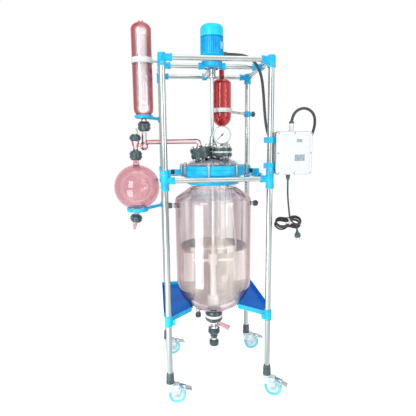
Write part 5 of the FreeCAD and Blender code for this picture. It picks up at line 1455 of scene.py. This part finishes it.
def makeCasters():
    sockets = Shape()
    socket = turned([(0, 122), (24, 122, 2), (24, 132, 2), (22.4, 134, 1), (22.4, 146, 1),
                     (23.4, 148, 2), (20, 181, 2), (16.2, 183),
                     (16.2, 150), (0, 150)], 48)
    for corner, at in posts.items():
        sockets.joined(socket, shifted(*at))
        makeCaster(corner, shifted(*at) @ Matrix.Rotation(radians(casters["turns"][corner]), 4, "Z"))
    sockets.piece("casterSockets", "blackPlastic", "caster_sockets")


makeCasters()
print("casters made")

# Control box with its glands
controlBox = {
    "low": (303.0, -240.0, 1281.0),
    "high": (498.0, -120.0, 1507.0),
    "corner": 20.0,
    "cover": 30.0,
    "plates": ((400, 1353, 454, 1386), (408, 1450, 438, 1466)),
    "topGland": (394, -195),
    "lowGland": (381, -195),
}


def makeBox():
    b = controlBox
    (x0, y0, z0), (x1, y1, z1) = b["low"], b["high"]
    corner, edge = b["corner"], y0 + b["cover"]
    shell = roundedBox((x0, edge + 1, z0), (x1, y1, z1), corner, "Y", 3, 7)
    shell.piece("boxShell", "boxPaint", "box_shell")
    cover = roundedBox((x0, y0 + 3, z0), (x1, edge, z1), corner, "Y", 6, 7)
    cover.joined(roundedBox((x0 + 17, y0, z0 + 17), (x1 - 17, y0 + 6, z1 - 17), 12, "Y", 3, 6))
    cover.piece("boxCover", "boxPaint", "box_cover")
    gasket = roundedBox((x0 - 1.4, edge - 2, z0 - 1.4), (x1 + 1.4, edge + 2, z1 + 1.4), corner + 1, "Y",
                        0.2, 7)
    gasket.piece("boxGasket", "rubber")
    screws, plates = Shape(), Shape()
    mx, mz = (x0 + x1) / 2, (z0 + z1) / 2
    places = [(x, z) for z in (z0 + 10, z1 - 10) for x in (x0 + 10, x1 - 10)]
    for x, z in places + [(mx, z0 + 8), (mx, z1 - 8), (x0 + 8, mz), (x1 - 8, mz)]:
        screws.joined(capScrew((x, y0 + 4, z), (0, -1, 0), 4.2, 3.4))
    screws.piece("boxScrews", "steel")
    for left, low, right, high in b["plates"]:
        plates.joined(roundedBox((left, y0 - 0.8, low), (right, y0 + 0.4, high), 2, "Y", 0.2))
    plates.piece("boxPlates", "platePaint")
    top, foot = b["topGland"], b["lowGland"]
    glands = tube([(7.6, z1 + 41), (13, z1 + 41, 2), (13, z1 + 50, 2), (9, z1 + 56, 1), (7.6, z1 + 56)],
                  40, at=top)
    glands.joined(tube([(4.6, z0 - 30), (8, z0 - 30, 2), (11, z0 - 19, 2), (11, z0 - 6, 1),
                        (14, z0 - 5, 1), (14, z0, 1), (4.6, z0)],
                       40, at=foot))
    glands.joined(tube([(7.6, 18), (10, 18, 1), (12, 12, 2), (12, 2, 1), (14, 0, 1), (7.6, 0)], 40),
                  alignTo((66, 0, drive["gland"]), (1, 0, 0)))
    glands.piece("glands", "blackPlastic", "cable_glands")
    pipe = tube([(8, z1), (15, z1, 1), (15, z1 + 6, 1), (12.4, z1 + 7, 1), (12.4, z1 + 41, 1),
                 (8, z1 + 41)], 40, at=top)
    pipe.piece("glandTube", "boxPaint")


makeBox()
print("box made")

# Floor, lights and world
stage = {
    "lamps": {
        "key": {"place": (-2.3, -3.2, 2.5), "size": (1.6, 2.2), "power": 76},
        "strip": {"place": (-1.21, -1.05, 0.50), "size": (0.72, 0.96), "power": 13},
        "fill": {"place": (2.6, -2.8, 1.7), "size": (1.6, 2.0), "power": 36},
        "top": {"place": (0.3, -0.6, 4.2), "size": (3.0, 3.0), "power": 30},
    },
    "target": (0, 0, 1.1),
    "sky": (0.92, 0.96, 1.0, 1),
    "world": 0.38,
    "floor": ((0.90, 0.90, 0.90), (0.93, 0.93, 0.93)),
    "floorGlow": 0.62,
}


def seenDirectly(tree):
    # One for what the camera sees itself, in a mirror or through glass, so that the background is white.
    rays = node(tree, "LightPath").outputs
    first = node(tree, "Math", {0: rays["Is Camera Ray"], 1: rays["Is Transmission Ray"]},
                 operation="MAXIMUM")
    both = {0: first.outputs["Value"], 1: rays["Is Glossy Ray"]}
    return node(tree, "Math", both, operation="MAXIMUM").outputs["Value"]


def makeFloor():
    bpy.ops.mesh.primitive_plane_add(size=60, location=(0, 0, -0.001))
    floor = bpy.context.object
    floor.name = "floor"
    paint = surface("floorPaint", *stage["floor"], (0.8, 0.9), 1.2, 0.0)
    tree = paint.node_tree
    glow = node(tree, "Math", {0: seenDirectly(tree), 1: stage["floorGlow"]},
                operation="MULTIPLY").outputs["Value"]
    feed(tree, tree.nodes["Principled BSDF"], {"Emission Color": (1, 1, 1, 1),
                                               "Emission Strength": glow})
    floor.data.materials.append(paint)


def makeLamps():
    # The top lamp looks at the reactor's middle, and the others level ahead.
    target = Vector(stage["target"])
    for name, lamp in stage["lamps"].items():
        data = bpy.data.lights.new(name, "AREA")
        data.shape = "RECTANGLE"
        data.size, data.size_y = lamp["size"]
        data.energy = lamp["power"]
        obj = bpy.data.objects.new(name, data)
        scene.collection.objects.link(obj)
        obj.location = lamp["place"]
        obj.visible_camera = False
        heading = target - Vector(lamp["place"])
        if name != "top":
            heading.z = min(heading.z, 0.0)
        obj.rotation_euler = heading.to_track_quat("-Z", "Y").to_euler()


def makeWorld():
    world = scene.world = bpy.data.worlds.new("world")
    world.use_nodes = True
    tree = world.node_tree
    tree.nodes.clear()
    seen = node(tree, "Background", {"Color": (1, 1, 1, 1), "Strength": 1.0}).outputs["Background"]
    soft = node(tree, "Background", {"Color": stage["sky"],
                                     "Strength": stage["world"]}).outputs["Background"]
    mix = node(tree, "MixShader", {"Fac": seenDirectly(tree), 1: soft, 2: seen}).outputs["Shader"]
    node(tree, "OutputWorld", {"Surface": mix})
    scene.view_settings.view_transform = "Standard"
    scene.view_settings.look = "None"
    scene.cycles.max_bounces = scene.cycles.transmission_bounces = 24
    scene.cycles.glossy_bounces = 6
    scene.cycles.transparent_max_bounces = 12


makeFloor()
makeLamps()
makeWorld()
bpy.context.view_layer.update()
print("stage made")
